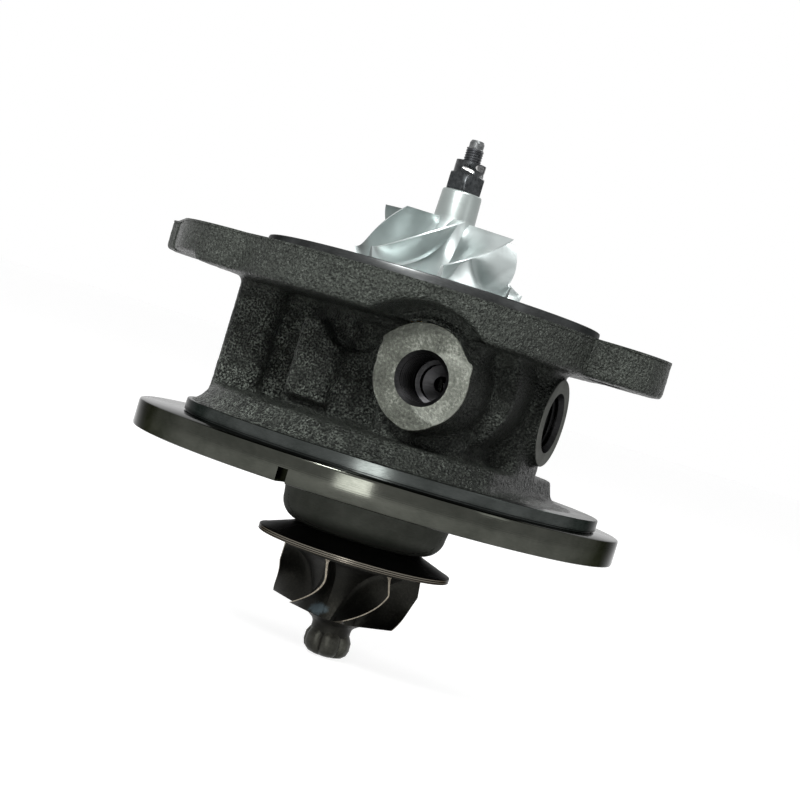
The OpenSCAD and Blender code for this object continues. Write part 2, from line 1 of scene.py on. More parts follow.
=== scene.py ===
"""Turbo cartridge: the looks of a small turbocharger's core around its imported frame."""

import json
import math

import bmesh
import bpy
import numpy as np
from mathutils import Matrix, Vector, noise


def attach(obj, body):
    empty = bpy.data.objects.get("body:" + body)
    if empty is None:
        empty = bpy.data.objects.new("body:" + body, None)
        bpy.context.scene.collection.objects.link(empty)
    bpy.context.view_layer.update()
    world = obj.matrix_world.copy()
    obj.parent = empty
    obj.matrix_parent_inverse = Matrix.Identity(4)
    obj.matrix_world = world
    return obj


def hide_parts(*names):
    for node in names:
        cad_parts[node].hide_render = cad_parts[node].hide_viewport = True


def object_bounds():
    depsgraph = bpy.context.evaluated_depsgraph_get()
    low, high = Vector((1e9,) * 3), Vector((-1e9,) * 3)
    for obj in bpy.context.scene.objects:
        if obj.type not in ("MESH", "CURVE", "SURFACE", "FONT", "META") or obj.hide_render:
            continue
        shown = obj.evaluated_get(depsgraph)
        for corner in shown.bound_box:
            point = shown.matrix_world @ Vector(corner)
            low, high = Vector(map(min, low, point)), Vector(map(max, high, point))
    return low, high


MM = 0.001
QUARTER = math.pi / 2

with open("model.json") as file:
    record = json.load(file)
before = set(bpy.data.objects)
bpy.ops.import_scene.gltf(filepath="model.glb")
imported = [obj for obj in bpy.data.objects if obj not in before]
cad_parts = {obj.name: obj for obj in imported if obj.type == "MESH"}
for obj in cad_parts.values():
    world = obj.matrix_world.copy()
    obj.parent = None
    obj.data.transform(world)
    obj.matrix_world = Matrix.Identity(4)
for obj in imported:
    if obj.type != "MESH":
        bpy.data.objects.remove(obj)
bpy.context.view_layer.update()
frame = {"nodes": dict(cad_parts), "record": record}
nodes = frame["nodes"]

# Sizes of the part, in millimetres, in the part's own frame
SEAT_Z = -41.7
RING_R = 50.0
RING_TOP = -36.3
BAND_R = 43.0
BAND_TOP = -33.75
BAND_CENTRE = (1.9, 1.9 / 3)
REGISTER_R = 40.0
REGISTER_TOP = -40.3
BOSS_BOTTOM = -51.1
BOSS_TOP_R = 17.9
BOSS_LOW_R = 17.0
SEAL_BORE_R = 7.1
BOSS_ROUND = 4.4
FLANGE_T = 7.5
LEFT_LOBE_T = 6.3
SPIGOT_R = 34.7
SPIGOT_TOP = 2.0
POCKET_R = 26.0
NOTCH_HALF = 1.0
NOTCH_TOP = -39.0
OIL_PORT = (14.1, -33.0, -16.8)
OIL_CORE_R = 4.46
OIL_DEPTH = 10.0
# Outline of the oil inlet face round its bore: angle from +X towards +Z, and radius
OIL_FACE = ((-180, 9.5), (-140, 9.5), (-106, 9.75), (-95, 10.0), (-85, 9.85), (-58, 9.15), (0, 9.1),
            (16, 9.2), (29, 10.0), (34, 9.35), (42, 9.2), (66, 9.9), (93, 10.3), (135, 10.7), (150, 11.0),
            (153, 10.45), (175, 9.5), (180, 9.5))
OIL_BOSS_R = 10.0
OIL_RELIEF_R = 13.2
OIL_RELIEF = 2.5
COOLANT_Z = -17.8
COOLANT_RIGHT = 31.8
COOLANT_LEFT = 36.5
COOLANT_CORE_R = 5.2
COOLANT_FACE_R = 8.9
COOLANT_DEPTH = 11.0
DRAIN_PORT = (0.0, 34.0, -24.0)
DRAIN_R = 7.5
DRAIN_FACE_R = 9.6
DRAIN_DEPTH = 20.0
BOLT_HOLES = ((-46.5, 0.0), (39.3, 0.0), (0.0, 44.0))
BOLT_HOLE_R = 3.3
BOLT_SEATS = (-LEFT_LOBE_T, -FLANGE_T, -FLANGE_T)
SHIELD_R = 20.0
SHIELD_RIM_Z = -54.9
SHIELD_T = 0.8
SHIELD_RIM_H = 1.15
WHEEL_BASE = 1.0
WHEEL_TOP = 21.4
EYE_Z = 15.4
STUB_R = 2.2
COMPRESSOR_R = 18.2
INDUCER_R = 14.2
TURBINE_R = 15.0
EXDUCER_R = 13.5
WELD_Z = -52.5
TURBINE_STAIN = (-1.5, -7.0, -66.5)
BLADES = 7
THREAD_ROOT_R = 1.7
SHAFT_TIP_R = 1.5
GROOVE_TURN = -75.0
GROOVE_Z = 25.9
GROOVE_R = 0.34
GROOVE_DEPTH = 0.36
GROOVE_TILT = -0.18
GROOVE_HALF = 4.0
NUT_COLLAR_R = 3.1
NUT_HEX_TOP = 25.0
THREAD_FROM = 27.6
THREAD_TO = 30.4

# Camera read from the photograph: place, directions and focal length in pixels of an 800 x 800 image
IMAGE_SIZE = 800
SENSOR = 36.0
FOCAL_PX = 1872.5
CAMERA_AZIMUTH = 19.0
CAMERA_DISTANCE = 377.85
CAMERA_Z = -17.12
CAMERA_PITCH = -0.77
CAMERA_ROLL = 16.82


# Mesh helpers

def add_object(name, mesh, material, body):
    """Visible piece with one material, riding on a body of the frame."""
    obj = bpy.data.objects.new(name, mesh)
    bpy.context.collection.objects.link(obj)
    mesh.materials.clear()
    mesh.materials.append(material)
    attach(obj, body)
    return obj


def mesh_from(name, verts, faces, sharp=35.0):
    """Mesh from points in millimetres, smooth but for edges sharper than an angle in degrees."""
    mesh = bpy.data.meshes.new(name)
    mesh.from_pydata([Vector(v) * MM for v in verts], [], faces)
    mesh.validate()
    smooth(mesh, sharp)
    return mesh


def smooth(mesh, sharp):
    """Smooth shading, with edges sharper than an angle in degrees kept."""
    mesh.polygons.foreach_set("use_smooth", [True] * len(mesh.polygons))
    mesh.set_sharp_from_angle(angle=math.radians(sharp))
    mesh.update()


def mesh_of(bm, name):
    """Mesh of that name made from a bmesh, which is freed."""
    mesh = bpy.data.meshes.new(name)
    bm.to_mesh(mesh)
    bm.free()
    return mesh


def paint(mesh, material, test):
    """Second material, on the faces that pass the test."""
    mesh.materials.append(material)
    for face in mesh.polygons:
        face.material_index = int(test(face))


def face_radius(face):
    """Distance of a face's middle from the rotor's axis, in millimetres."""
    middle = face.center / MM
    return math.hypot(middle.x, middle.y)


def revolve(profile, segments, close=True):
    """Points (radius, z) turned round Z. A closed profile makes a solid ring."""
    count = len(profile)
    verts = []
    for k in range(segments):
        turn = 2 * math.pi * k / segments
        verts += [(r * math.cos(turn), r * math.sin(turn), z) for r, z in profile]
    faces = []
    last = count if close else count - 1
    for k in range(segments):
        here, there = k * count, (k + 1) % segments * count
        for i in range(last):
            j = (i + 1) % count
            faces.append((here + i, there + i, there + j, here + j))
    return verts, faces


def moved(verts, matrix):
    """The points after a matrix."""
    return [tuple(matrix @ Vector(v)) for v in verts]


def arc(centre, radius, start, end, steps):
    """Points on an arc in the (radius, z) plane, angles in degrees."""
    out = []
    for k in range(steps + 1):
        w = math.radians(start + (end - start) * k / steps)
        out.append((centre[0] + radius * math.cos(w), centre[1] + radius * math.sin(w)))
    return out


def mix(a, b, t):
    """Value at share t of the way from a to b."""
    return a + (b - a) * t


# Material helpers

class Graph:
    """A material with its shader and short calls for the nodes that feed it."""

    def __init__(self, name, **sockets):
        self.material = bpy.data.materials.new(name)
        self.material.use_nodes = True
        self.tree = self.material.node_tree
        self.shader = self.tree.nodes["Principled BSDF"]
        self.coords = self.add("ShaderNodeTexCoord").outputs["Object"]
        for key, value in sockets.items():
            self.shader.inputs[key.replace("_", " ")].default_value = value

    def add(self, kind, **values):
        node = self.tree.nodes.new(kind)
        for key, value in values.items():
            setattr(node, key, value)
        return node

    def link(self, source, node, socket):
        self.tree.links.new(source, node.inputs[socket])

    def noise(self, per_mm, detail, rough, stretch=(1, 1, 1)):
        """Noise with that many features in a millimetre, stretched along the axes."""
        place = self.add("ShaderNodeMapping")
        place.inputs["Scale"].default_value = [per_mm * s / MM for s in stretch]
        self.link(self.coords, place, "Vector")
        node = self.add("ShaderNodeTexNoise")
        node.inputs["Scale"].default_value = 1.0
        node.inputs["Detail"].default_value = detail
        node.inputs["Roughness"].default_value = rough
        self.link(place.outputs[0], node, "Vector")
        return node.outputs["Fac"]

    def rings(self, per_mm):
        """Fine bands along Z, as a turning tool leaves."""
        node = self.add("ShaderNodeTexWave", wave_type="BANDS", bands_direction="Z")
        node.inputs["Scale"].default_value = per_mm / MM / 20 * 2 * math.pi
        node.inputs["Distortion"].default_value = 0.6
        node.inputs["Detail"].default_value = 2.0
        self.link(self.coords, node, "Vector")
        return node.outputs["Fac"]

    def ramp(self, factor, *stops):
        """Colour or value stops (place, colour)."""
        node = self.add("ShaderNodeValToRGB")
        ramp = node.color_ramp
        while len(ramp.elements) < len(stops):
            ramp.elements.new(0.5)
        for element, (place, colour) in zip(ramp.elements, stops):
            element.position = place
            level = colour if isinstance(colour, tuple) else (colour,) * 3
            element.color = (*level, 1.0)
        self.link(factor, node, "Fac")
        return node.outputs["Color"]

    def math(self, kind, a, b):
        node = self.add("ShaderNodeMath", operation=kind)
        for index, value in enumerate((a, b)):
            if isinstance(value, (int, float)):
                node.inputs[index].default_value = value
            else:
                self.tree.links.new(value, node.inputs[index])
        return node.outputs[0]

    def weigh(self, a, share, b):
        """Sum of two values: a with that share, and b with the rest."""
        return self.math("ADD", self.math("MULTIPLY", a, share), self.math("MULTIPLY", b, 1 - share))

    def length(self, *parts):
        """Root of the sum of the parts' squares."""
        total, *others = [self.math("MULTIPLY", part, part) for part in parts]
        for square in others:
            total = self.math("ADD", total, square)
        return self.math("POWER", total, 0.5)

    def blend(self, factor, a, b):
        node = self.add("ShaderNodeMix", data_type="RGBA")
        self.tree.links.new(factor, node.inputs["Factor"])
        for socket, value in ((node.inputs[6], a), (node.inputs[7], b)):
            if isinstance(value, tuple):
                socket.default_value = (*value, 1.0)
            else:
                self.tree.links.new(value, socket)
        return node.outputs[2]

    def bump(self, height, depth_mm, strength=1.0, under=None):
        node = self.add("ShaderNodeBump")
        node.inputs["Distance"].default_value = depth_mm * MM
        node.inputs["Strength"].default_value = strength
        self.link(height, node, "Height")
        if under is not None:
            self.link(under, node, "Normal")
        return node.outputs["Normal"]

    def split(self):
        """The x, y and z of a point of the piece, in millimetres."""
        node = self.add("ShaderNodeSeparateXYZ")
        self.link(self.coords, node, "Vector")
        return [self.math("MULTIPLY", out, 1 / MM) for out in node.outputs]

    def finish(self, colour, roughness, normal):
        self.link(colour, self.shader, "Base Color")
        self.link(roughness, self.shader, "Roughness")
        self.link(normal, self.shader, "Normal")
        return self.material


def cast_iron():
    """Dark sand-cast skin with painted glint specks: an even flange, and a core below it painted darker as
    shade, whose painted glint specks are stronger on the left as painted light.
    """
    g = Graph("cast_iron_skin", Metallic=0.05, Specular_IOR_Level=0.09)
    grain = g.noise(1.8, 3, 0.5)
    specks = g.noise(2.6, 2, 0.6)
    patches = g.noise(0.09, 3, 0.5)
    tone = g.weigh(specks, 0.7, patches)
    flange_skin = g.ramp(tone, (0.36, (0.010, 0.0112, 0.0097)), (0.64, (0.039, 0.0434, 0.0379)))
    # Painted shade: the core below the flange takes darker tones than the flange.
    shaded_core_skin = g.ramp(tone, (0.36, (0.004, 0.0045, 0.004)), (0.58, (0.015, 0.0167, 0.0146)))
    # Painted highlights: bright glint specks put into the base colour, gathered in clumps, on the flange
    # and the core.
    clumps = g.ramp(g.noise(0.45, 2, 0.5), (0.36, 0.25), (0.62, 1.0))
    painted_glints = g.math("MULTIPLY", g.ramp(specks, (0.46, 0.0), (0.78, 1.0)), clumps)
    flange_skin = g.blend(painted_glints, flange_skin, (0.08, 0.089, 0.0777))
    x, _, z = g.split()
    # Painted light: the core's painted glint specks are strongest on the left side and fade towards the
    # right.
    across = g.math("ADD", g.math("MULTIPLY", x, 0.5 / COOLANT_LEFT), 0.5)
    painted_light_side = g.ramp(across, (0.15, 1.0), (0.72, 0.30))
    shaded_core_skin = g.blend(g.math("MULTIPLY", painted_glints, painted_light_side), shaded_core_skin, (0.22, 0.245, 0.214))
    # Painted shade: the flange's tones give way to the darker core's below the flange.
    shaded_below_flange = g.ramp(g.math("MULTIPLY", z, -0.5 / FLANGE_T), (0.46, 0.0), (0.72, 1.0))
    colour = g.blend(shaded_below_flange, flange_skin, shaded_core_skin)
    roughness = g.ramp(specks, (0.4, 0.40), (0.65, 0.22))
    return g.finish(colour, roughness, g.bump(grain, 1.0))


def turned_iron(name, dark, light, per_mm, rough=(0.30, 0.46), metallic=1.0, line_tone=0.0):
    """Turned metal: tool lines, stains and scratches. line_tone is the lines' share in the colour."""
    g = Graph(name, Metallic=metallic, Specular_IOR_Level=0.2, Specular_Tint=(0.35, 0.35, 0.35, 1.0))
    lines = g.rings(per_mm)
    stain = g.noise(0.12, 4, 0.6)
    scratch = g.noise(0.9, 3, 0.6, (1, 1, 6))
    tone = g.weigh(stain, 0.7, scratch)
    if line_tone:
        tone = g.weigh(lines, line_tone, tone)
    colour = g.ramp(tone, (0.36, dark), (0.66, light))
    roughness = g.ramp(tone, (0.3, rough[1]), (0.7, rough[0]))
    normal = g.bump(lines, 0.004, 0.5)
    normal = g.bump(scratch, 0.006, 0.4, normal)
    return g.finish(colour, roughness, normal)


def faced_iron(name="faced_iron", second_cut=None):
    """Milled boss face. second_cut is the middle (x, z) and the radius of a second cutter pass."""
    g = Graph(name, Metallic=0.8)
    grain = g.noise(1.7, 4, 0.65)
    sweep = g.noise(0.22, 3, 0.5)
    tone = g.weigh(grain, 0.55, sweep)
    low, middle, high = (0.026, 0.028, 0.023), (0.058, 0.062, 0.052), (0.15, 0.158, 0.137)
    colour = g.ramp(tone, (0.36, low), (0.52, middle), (0.66, high))
    roughness = g.ramp(grain, (0.3, 0.32), (0.7, 0.50))
    normal = g.bump(grain, 0.12, 0.8)
    if second_cut:
        middle_x, middle_z, radius = second_cut
        x, _, z = g.split()
        away = g.length(g.math("SUBTRACT", x, middle_x), g.math("SUBTRACT", z, middle_z))
        reach = g.math("DIVIDE", away, 2 * radius)
        level = g.ramp(reach, (0.475, 0.0), (0.525, 1.0))
        fresh = g.ramp(reach, (0.30, 0.05), (0.48, 0.16), (0.52, 0.0))
        colour = g.blend(fresh, colour, (0.42, 0.44, 0.39))
        normal = g.bump(level, 0.05, 0.5, normal)
    return g.finish(colour, roughness, normal)


def milled_aluminium():
    """Bright alloy with the cutter's passes, which follow the blades and the hub, and painted shade that
    darkens the hub's nose above the eye.
    """
    g = Graph("milled_aluminium", Metallic=0.85)
    milling = g.add("ShaderNodeAttribute", attribute_name="milling").outputs["Fac"]
    passes = g.add("ShaderNodeTexNoise", noise_dimensions="1D")
    passes.inputs["Scale"].default_value = 2.4
    passes.inputs["Detail"].default_value = 3.0
    g.link(milling, passes, "W")
    streaks = passes.outputs["Fac"]
    cloud = g.noise(0.16, 2, 0.5)
    colour = g.ramp(cloud, (0.32, (0.37, 0.407, 0.402)), (0.68, (0.46, 0.503, 0.498)))
    _, _, z = g.split()
    # Painted shade: the hub's nose above the eye is painted darker than the rest of the wheel.
    shaded_stub = g.ramp(g.math("MULTIPLY", z, 0.5 / EYE_Z), (0.46, 0.0), (0.52, 0.6))
    colour = g.blend(shaded_stub, colour, (0.16, 0.18, 0.17))
    roughness = g.ramp(streaks, (0.3, 0.32), (0.7, 0.40))
    normal = g.bump(streaks, 0.006, 0.3)
    return g.finish(colour, roughness, normal)


def turbine_alloy(name, dark, middle, light, smudge=None):
    """Heat-browned casting, with a bluish stain round one point where one is given."""
    g = Graph(name, Metallic=0.9)
    grain = g.noise(2.4, 4, 0.6)
    heat = g.noise(0.16, 3, 0.5)
    tone = g.weigh(grain, 0.45, heat)
    colour = g.ramp(tone, (0.34, dark), (0.52, middle), (0.68, light))
    if smudge:
        away = g.length(*(g.math("SUBTRACT", axis, c) for axis, c in zip(g.split(), smudge)))
        uneven = g.math("MULTIPLY", g.noise(0.6, 3, 0.6), 0.55)
        ragged = g.math("ADD", g.math("MULTIPLY", away, 0.16), uneven)
        colour = g.blend(g.ramp(ragged, (0.46, 0.75), (0.60, 0.0)), colour, (0.065, 0.088, 0.10))
    roughness = g.ramp(grain, (0.3, 0.38), (0.7, 0.56))
    return g.finish(colour, roughness, g.bump(grain, 0.05, 0.7))


def ground_tip():
    """Bright edges of the turbine's blades, ground to size."""
    g = Graph("ground_blade_tips", Metallic=1.0)
    lines = g.noise(5.0, 2, 0.5, (1, 1, 0.15))
    colour = g.ramp(lines, (0.3, (0.13, 0.115, 0.09)), (0.7, (0.30, 0.27, 0.22)))
    roughness = g.ramp(lines, (0.3, 0.28), (0.7, 0.42))
    return g.finish(colour, roughness, g.bump(lines, 0.01, 0.5))


def balance_nut():
    """Blackened nut with bright stone marks where its collar is ground away."""
    g = Graph("black_oxide", Metallic=0.85)
    x, y, z = g.split()
    inside = g.math("LESS_THAN", g.length(x, y), NUT_COLLAR_R - 0.06)
    above = g.math("GREATER_THAN", z, NUT_HEX_TOP + 0.02)
    below = g.math("LESS_THAN", z, THREAD_FROM - 0.05)
    front = g.math("ADD", g.math("MULTIPLY", g.math("LESS_THAN", y, -1.9), 0.75), 0.25)
    ground = g.math("MULTIPLY", g.math("MULTIPLY", inside, front), g.math("MULTIPLY", above, below))
    grain = g.noise(1.5, 4, 0.6)
    black = g.ramp(grain, (0.32, (0.014, 0.016, 0.017)), (0.68, (0.045, 0.048, 0.05)))
    stone = g.noise(4.0, 3, 0.6, (0.3, 0.3, 1))
    bright = g.ramp(stone, (0.35, (0.10, 0.10, 0.10)), (0.62, (0.60, 0.60, 0.59)))
    roughness = g.ramp(grain, (0.3, 0.40), (0.7, 0.26))
    return g.finish(g.blend(ground, black, bright), roughness, g.bump(stone, 0.02, 0.5))


def plain_steel(name, dark, light, rough=(0.28, 0.45), metallic=1.0):
    """Plain fine-grained surface between two tones."""
    g = Graph(name, Metallic=metallic)
    grain = g.noise(1.2, 4, 0.6)
    colour = g.ramp(grain, (0.32, dark), (0.68, light))
    roughness = g.ramp(grain, (0.3, rough[1]), (0.7, rough[0]))
    return g.finish(colour, roughness, g.bump(grain, 0.01, 0.5))


M_CAST = cast_iron()
M_RING = turned_iron("turned_ring", (0.036, 0.038, 0.032), (0.062, 0.064, 0.055), 3.0, (0.10, 0.16))
M_BAND = turned_iron("turned_band", (0.030, 0.034, 0.032), (0.068, 0.074, 0.071), 4.0, (0.16, 0.25))
M_SPIGOT = turned_iron("turned_spigot", (0.026, 0.027, 0.027), (0.066, 0.069, 0.069), 4.0, (0.28, 0.40))
M_FLANGE = turned_iron("faced_flange", (0.05, 0.052, 0.049), (0.13, 0.13, 0.122), 3.0, (0.28, 0.42))
M_BOSS = turned_iron("heat_dulled_boss", (0.025, 0.027, 0.0225), (0.042, 0.044, 0.038), 2.0,
                     (0.50, 0.62), 0.7)
M_FACE = faced_iron()
M_OIL_FACE = faced_iron("oil_inlet_face", (OIL_PORT[0] + 4.6, OIL_PORT[2] - 0.8, 6.6))
M_DARK_FACE = turned_iron("dark_faced_iron", (0.07, 0.072, 0.066), (0.15, 0.154, 0.142), 4.0,
                          (0.42, 0.55), 0.8)
# Painted shade: the walls inside the ports and bolt holes are painted near-black.
M_SHADED_BORE = turned_iron("bored_iron_painted_shade", (0.006, 0.006, 0.006), (0.030, 0.030, 0.031), 5.0, (0.38, 0.52))
M_ALUMINIUM = milled_aluminium()
M_TURBINE = turbine_alloy("turbine_casting", (0.006, 0.006, 0.005), (0.012, 0.0118, 0.0098),
                          (0.026, 0.0255, 0.021), TURBINE_STAIN)
M_NOSE = turbine_alloy("turbine_nose_casting", (0.018, 0.018, 0.015), (0.038, 0.038, 0.032),
                       (0.070, 0.070, 0.058))
M_TIP = ground_tip()
# Painted shade: the shield's sheet is painted near-black.
M_SHIELD = turned_iron("shield_sheet", (0.006, 0.006, 0.006), (0.016, 0.015, 0.014), 6.0,
                       (0.36, 0.52), 0.7)
M_SHIELD_RIM = turned_iron("shield_rim", (0.010, 0.009, 0.008), (0.11, 0.10, 0.083), 2.6,
                           (0.18, 0.28), 1.0, 0.6)
M_NUT = balance_nut()
M_SHAFT = plain_steel("shaft_steel", (0.020, 0.021, 0.023), (0.07, 0.073, 0.077))
M_SHAFT_TIP = plain_steel("shaft_end_steel", (0.06, 0.065, 0.065), (0.15, 0.155, 0.155))

SLOT_MATERIALS = {
    "cast_iron": M_CAST,
    "heat_steel": M_SHIELD,
    "turned_iron": turned_iron("turned_plate", (0.22, 0.22, 0.21), (0.42, 0.42, 0.40), 3.0),
    "rubber": plain_steel("black_rubber", (0.010, 0.010, 0.010), (0.026, 0.026, 0.026), (0.5, 0.7), 0.0),
    "spring_steel": plain_steel("phosphated_spring", (0.07, 0.07, 0.072), (0.17, 0.17, 0.175),
                                (0.35, 0.5)),
    "bronze": plain_steel("bearing_bronze", (0.42, 0.27, 0.10), (0.66, 0.46, 0.20)),
    "steel": plain_steel("ground_steel", (0.38, 0.39, 0.40), (0.60, 0.61, 0.62)),
    "sheet_steel": plain_steel("pressed_sheet", (0.42, 0.43, 0.43), (0.62, 0.63, 0.63)),
    "seal_iron": plain_steel("seal_ring_iron", (0.14, 0.14, 0.145), (0.27, 0.27, 0.28)),
    "shaft_steel": M_SHAFT,
    "turbine_alloy": M_TURBINE,
    "milled_aluminium": M_ALUMINIUM,
    "black_oxide": M_NUT,
}
for row in frame["record"]["subparts"]:
    slots = nodes[row["node"]].data.materials
    slots.clear()
    slots.append(SLOT_MATERIALS[row["material_slot"]])


# Bearing housing: a rounded casting with its machined faces as crisp pieces, sizes in millimetres

OIL_BOSS_IN = 6.0
OIL_BOSS_LONG = 8.0
OIL_BOSS_FADE = 6.0
OIL_RELIEF_GAP = 0.3
CAST_VOXEL = 0.5
CAST_ROUNDS = 14
CAST_GRAIN = 0.08
CAST_HELD_Z = -0.9
BORE_ROOM = 0.7
FACE_LAP = 0.4
FACE_SKIN = 0.9
OIL_BORE_LONG = 13.0
COOLANT_BORE_LONG = 12.0
DRAIN_BORE_LONG = 26.0
BOLT_HOLE_LONG = 12.0
FLANGE_SKIN = 0.45
PLINTH_Z = -29.0
FOOT_LEFT = -38.5
CORE_FRONT = -12.0
PAD_LEFT = -21.0
PAD_RIGHT = -7.4
PAD_BOTTOM = -26.6
PAD_HEIGHT = 3.0
SINK_TOP = (8.5, 10.0)
SINK_END = (PAD_RIGHT + 10, PAD_RIGHT + 14)
FOOT_R = BAND_R - 0.8
LOBE_R = 11.0
LOBE_FLAT_R = 11.1
LOBE_FLAT_TURN = -134.0
LOBE_CORNER = 50.0
PLUG_R = 19.0
PLUG_Z = (-40.0, -5.7)


def casting_mesh():
    """The housing's solid, filled inside and remeshed evenly."""
    bm = bmesh.new()
    bm.from_mesh(nodes["bearing_housing"].data)
    bmesh.ops.create_cone(bm, cap_ends=True, segments=64, radius1=PLUG_R * MM, radius2=PLUG_R * MM,
                          depth=(PLUG_Z[1] - PLUG_Z[0]) * MM,
                          matrix=Matrix.Translation((0, 0, sum(PLUG_Z) / 2 * MM)))
    raw = bpy.data.objects.new("casting_raw", mesh_of(bm, "casting_raw"))
    bpy.context.collection.objects.link(raw)
    remesh = raw.modifiers.new("voxels", "REMESH")
    remesh.mode = "VOXEL"
    remesh.voxel_size = CAST_VOXEL * MM
    graph = bpy.context.evaluated_depsgraph_get()
    out = bpy.data.meshes.new_from_object(raw.evaluated_get(graph))
    bpy.data.objects.remove(raw)
    return out


def relax(points, edges, rounds, weight):
    """Laplacian smoothing of the points along the edges."""
    ends = np.concatenate([edges, edges[:, ::-1]])
    degree = np.bincount(ends[:, 0], minlength=len(points))[:, None]
    for _ in range(rounds):
        sums = [np.bincount(ends[:, 0], points[ends[:, 1], k], len(points)) for k in range(3)]
        points = points + weight[:, None] * (np.stack(sums, 1) / degree - points)
    return points


def near_line(points, axis, centre, radius):
    """Whether each point is nearer than the radius to a line along an axis through the centre."""
    others = [k for k in range(3) if k != axis]
    gap = [points[:, k] - centre[k] for k in others]
    return np.hypot(*gap) < radius


def shape_oil_boss(points):
    """Brings the boss to the outline of its machined face, and sinks the rough relief above it."""
    dx, dz = points[:, 0] - OIL_PORT[0], points[:, 2] - OIL_PORT[2]
    radius = np.hypot(dx, dz)
    outline = oil_outline(np.arctan2(dz, dx))
    behind = points[:, 1] - OIL_PORT[1]
    near = (radius > OIL_BOSS_IN) & (radius < OIL_BOSS_R + 1.2) & (behind < OIL_BOSS_LONG)
    fade = np.clip((OIL_BOSS_LONG - behind) / OIL_BOSS_FADE, 0, 1) * near
    grow = 1 + fade * (outline / OIL_BOSS_R - 1)
    past = radius - outline - OIL_RELIEF_GAP
    relief = (past > 0) & (radius < OIL_RELIEF_R) & (dz > 0) & (behind < 1)
    depth = OIL_RELIEF * np.clip(past / 0.6, 0, 1)
    points[:, 0] = OIL_PORT[0] + dx * grow
    points[:, 1] = points[:, 1] + np.where(relief, depth, 0)
    points[:, 2] = OIL_PORT[2] + dz * grow
    return points


def under_oil_face(points):
    """Points of the casting that the machined oil face covers."""
    dx, dz = points[:, 0] - OIL_PORT[0], points[:, 2] - OIL_PORT[2]
    covered = np.hypot(dx, dz) < oil_outline(np.arctan2(dz, dx)) - 0.35
    return covered & (points[:, 1] < OIL_PORT[1] + 1.1)


def step(value, low, high):
    """Smooth rise from 0 at low to 1 at high."""
    t = np.clip((value - low) / (high - low), 0, 1)
    return t * t * (3 - 2 * t)


def shape_core(points):
    """Sinks the core round its cast pad: beside the oil boss, and between the pad and the foot."""
    x, y, z = points.T
    away = np.hypot(x - OIL_PORT[0], z - OIL_PORT[2])
    front = (y < CORE_FRONT) & (away > OIL_BOSS_R + 0.6)
    inside = step(x, PAD_LEFT - 1, PAD_LEFT) * step(z, PLINTH_Z - 0.6, PLINTH_Z + 0.8) * step(-z, *SINK_TOP)
    left = 1 - step(x, *SINK_END)
    beside = step(x, PAD_RIGHT, PAD_RIGHT + 1.6) * left
    below = step(-z, -PAD_BOTTOM, -PAD_BOTTOM + 1.2) * left
    sink = PAD_HEIGHT * np.maximum(beside, below) * inside * step(away, OIL_BOSS_R + 0.6, OIL_BOSS_R + 2)
    points[:, 1] = y + np.where(front, sink, 0)
    return points


def shape_left_lobe(points):
    """Gives the left lobe's round end a flat side between two corners."""
    away = points[:, :2] - BOLT_HOLES[0]
    radius = np.hypot(away[:, 0], away[:, 1])
    turn = np.degrees(np.arctan2(away[:, 1], away[:, 0]))
    from_flat = (turn - LOBE_FLAT_TURN + 180) % 360 - 180
    on_side = (from_flat + LOBE_CORNER / 2) % LOBE_CORNER - LOBE_CORNER / 2
    target = LOBE_FLAT_R / np.cos(np.radians(on_side)) / LOBE_R
    near = (np.abs(from_flat) < LOBE_CORNER) & (radius < LOBE_R + 1.5)
    grow = 1 + (target - 1) * step(radius, BOLT_HOLE_R + 1.5, LOBE_R - 2) * near
    points[:, :2] = np.array(BOLT_HOLES[0]) + away * grow[:, None]
    return points


def tuck(points):
    """Flattens the casting under the machined flange face, and draws its foot inside the band."""
    points[:, 2] = np.minimum(points[:, 2], -0.6 * FLANGE_SKIN)
    low = points[:, 2] < PLINTH_Z
    drawn_in = np.maximum(points[:, 0], mix(FOOT_LEFT, points[:, 0], 0.15))
    points[:, 0] = np.where(low, drawn_in, points[:, 0])
    foot = points[:, 2] < BAND_TOP + 0.3
    away = points[:, :2] - BAND_CENTRE
    reach = np.hypot(away[:, 0], away[:, 1])
    shrink = np.where(foot & (reach > FOOT_R), FOOT_R / np.maximum(reach, 1e-6), 1.0)
    points[:, :2] = BAND_CENTRE + away * shrink[:, None]
    return points


def rows(items, key, width, kind=float):
    """Values of a mesh's items as the rows of an array."""
    values = np.empty(len(items) * width, kind)
    items.foreach_get(key, values)
    return values.reshape(-1, width)


def place_points(mesh, points):
    """Moves the mesh's vertices to points in millimetres."""
    mesh.vertices.foreach_set("co", (points * MM).ravel())
    mesh.update()


def machined_away(points):
    """Points of the casting that the machined faces, ports and holes take the place of."""
    x, y, z = points.T
    drop = z < BAND_TOP - 1.0
    drop |= under_oil_face(points)
    drop |= near_line(points, 1, OIL_PORT, OIL_CORE_R + BORE_ROOM) & (y < OIL_PORT[1] + OIL_BORE_LONG)
    coolant = (0, 0, COOLANT_Z)
    coolant_face = near_line(points, 0, coolant, COOLANT_FACE_R - FACE_LAP)
    coolant_bore = near_line(points, 0, coolant, COOLANT_CORE_R + BORE_ROOM)
    for side, reach in ((1, COOLANT_RIGHT), (-1, COOLANT_LEFT)):
        drop |= coolant_face & (x * side > reach - FACE_SKIN)
        drop |= coolant_bore & (x * side > reach - COOLANT_BORE_LONG)
    drop |= near_line(points, 1, DRAIN_PORT, DRAIN_FACE_R - FACE_LAP) & (y > DRAIN_PORT[1] - FACE_SKIN)
    drop |= near_line(points, 1, DRAIN_PORT, DRAIN_R + BORE_ROOM) & (y > DRAIN_PORT[1] - DRAIN_BORE_LONG)
    for hole in BOLT_HOLES:
        drop |= near_line(points, 2, hole, BOLT_HOLE_R + 0.8) & (z > -BOLT_HOLE_LONG)
    return drop


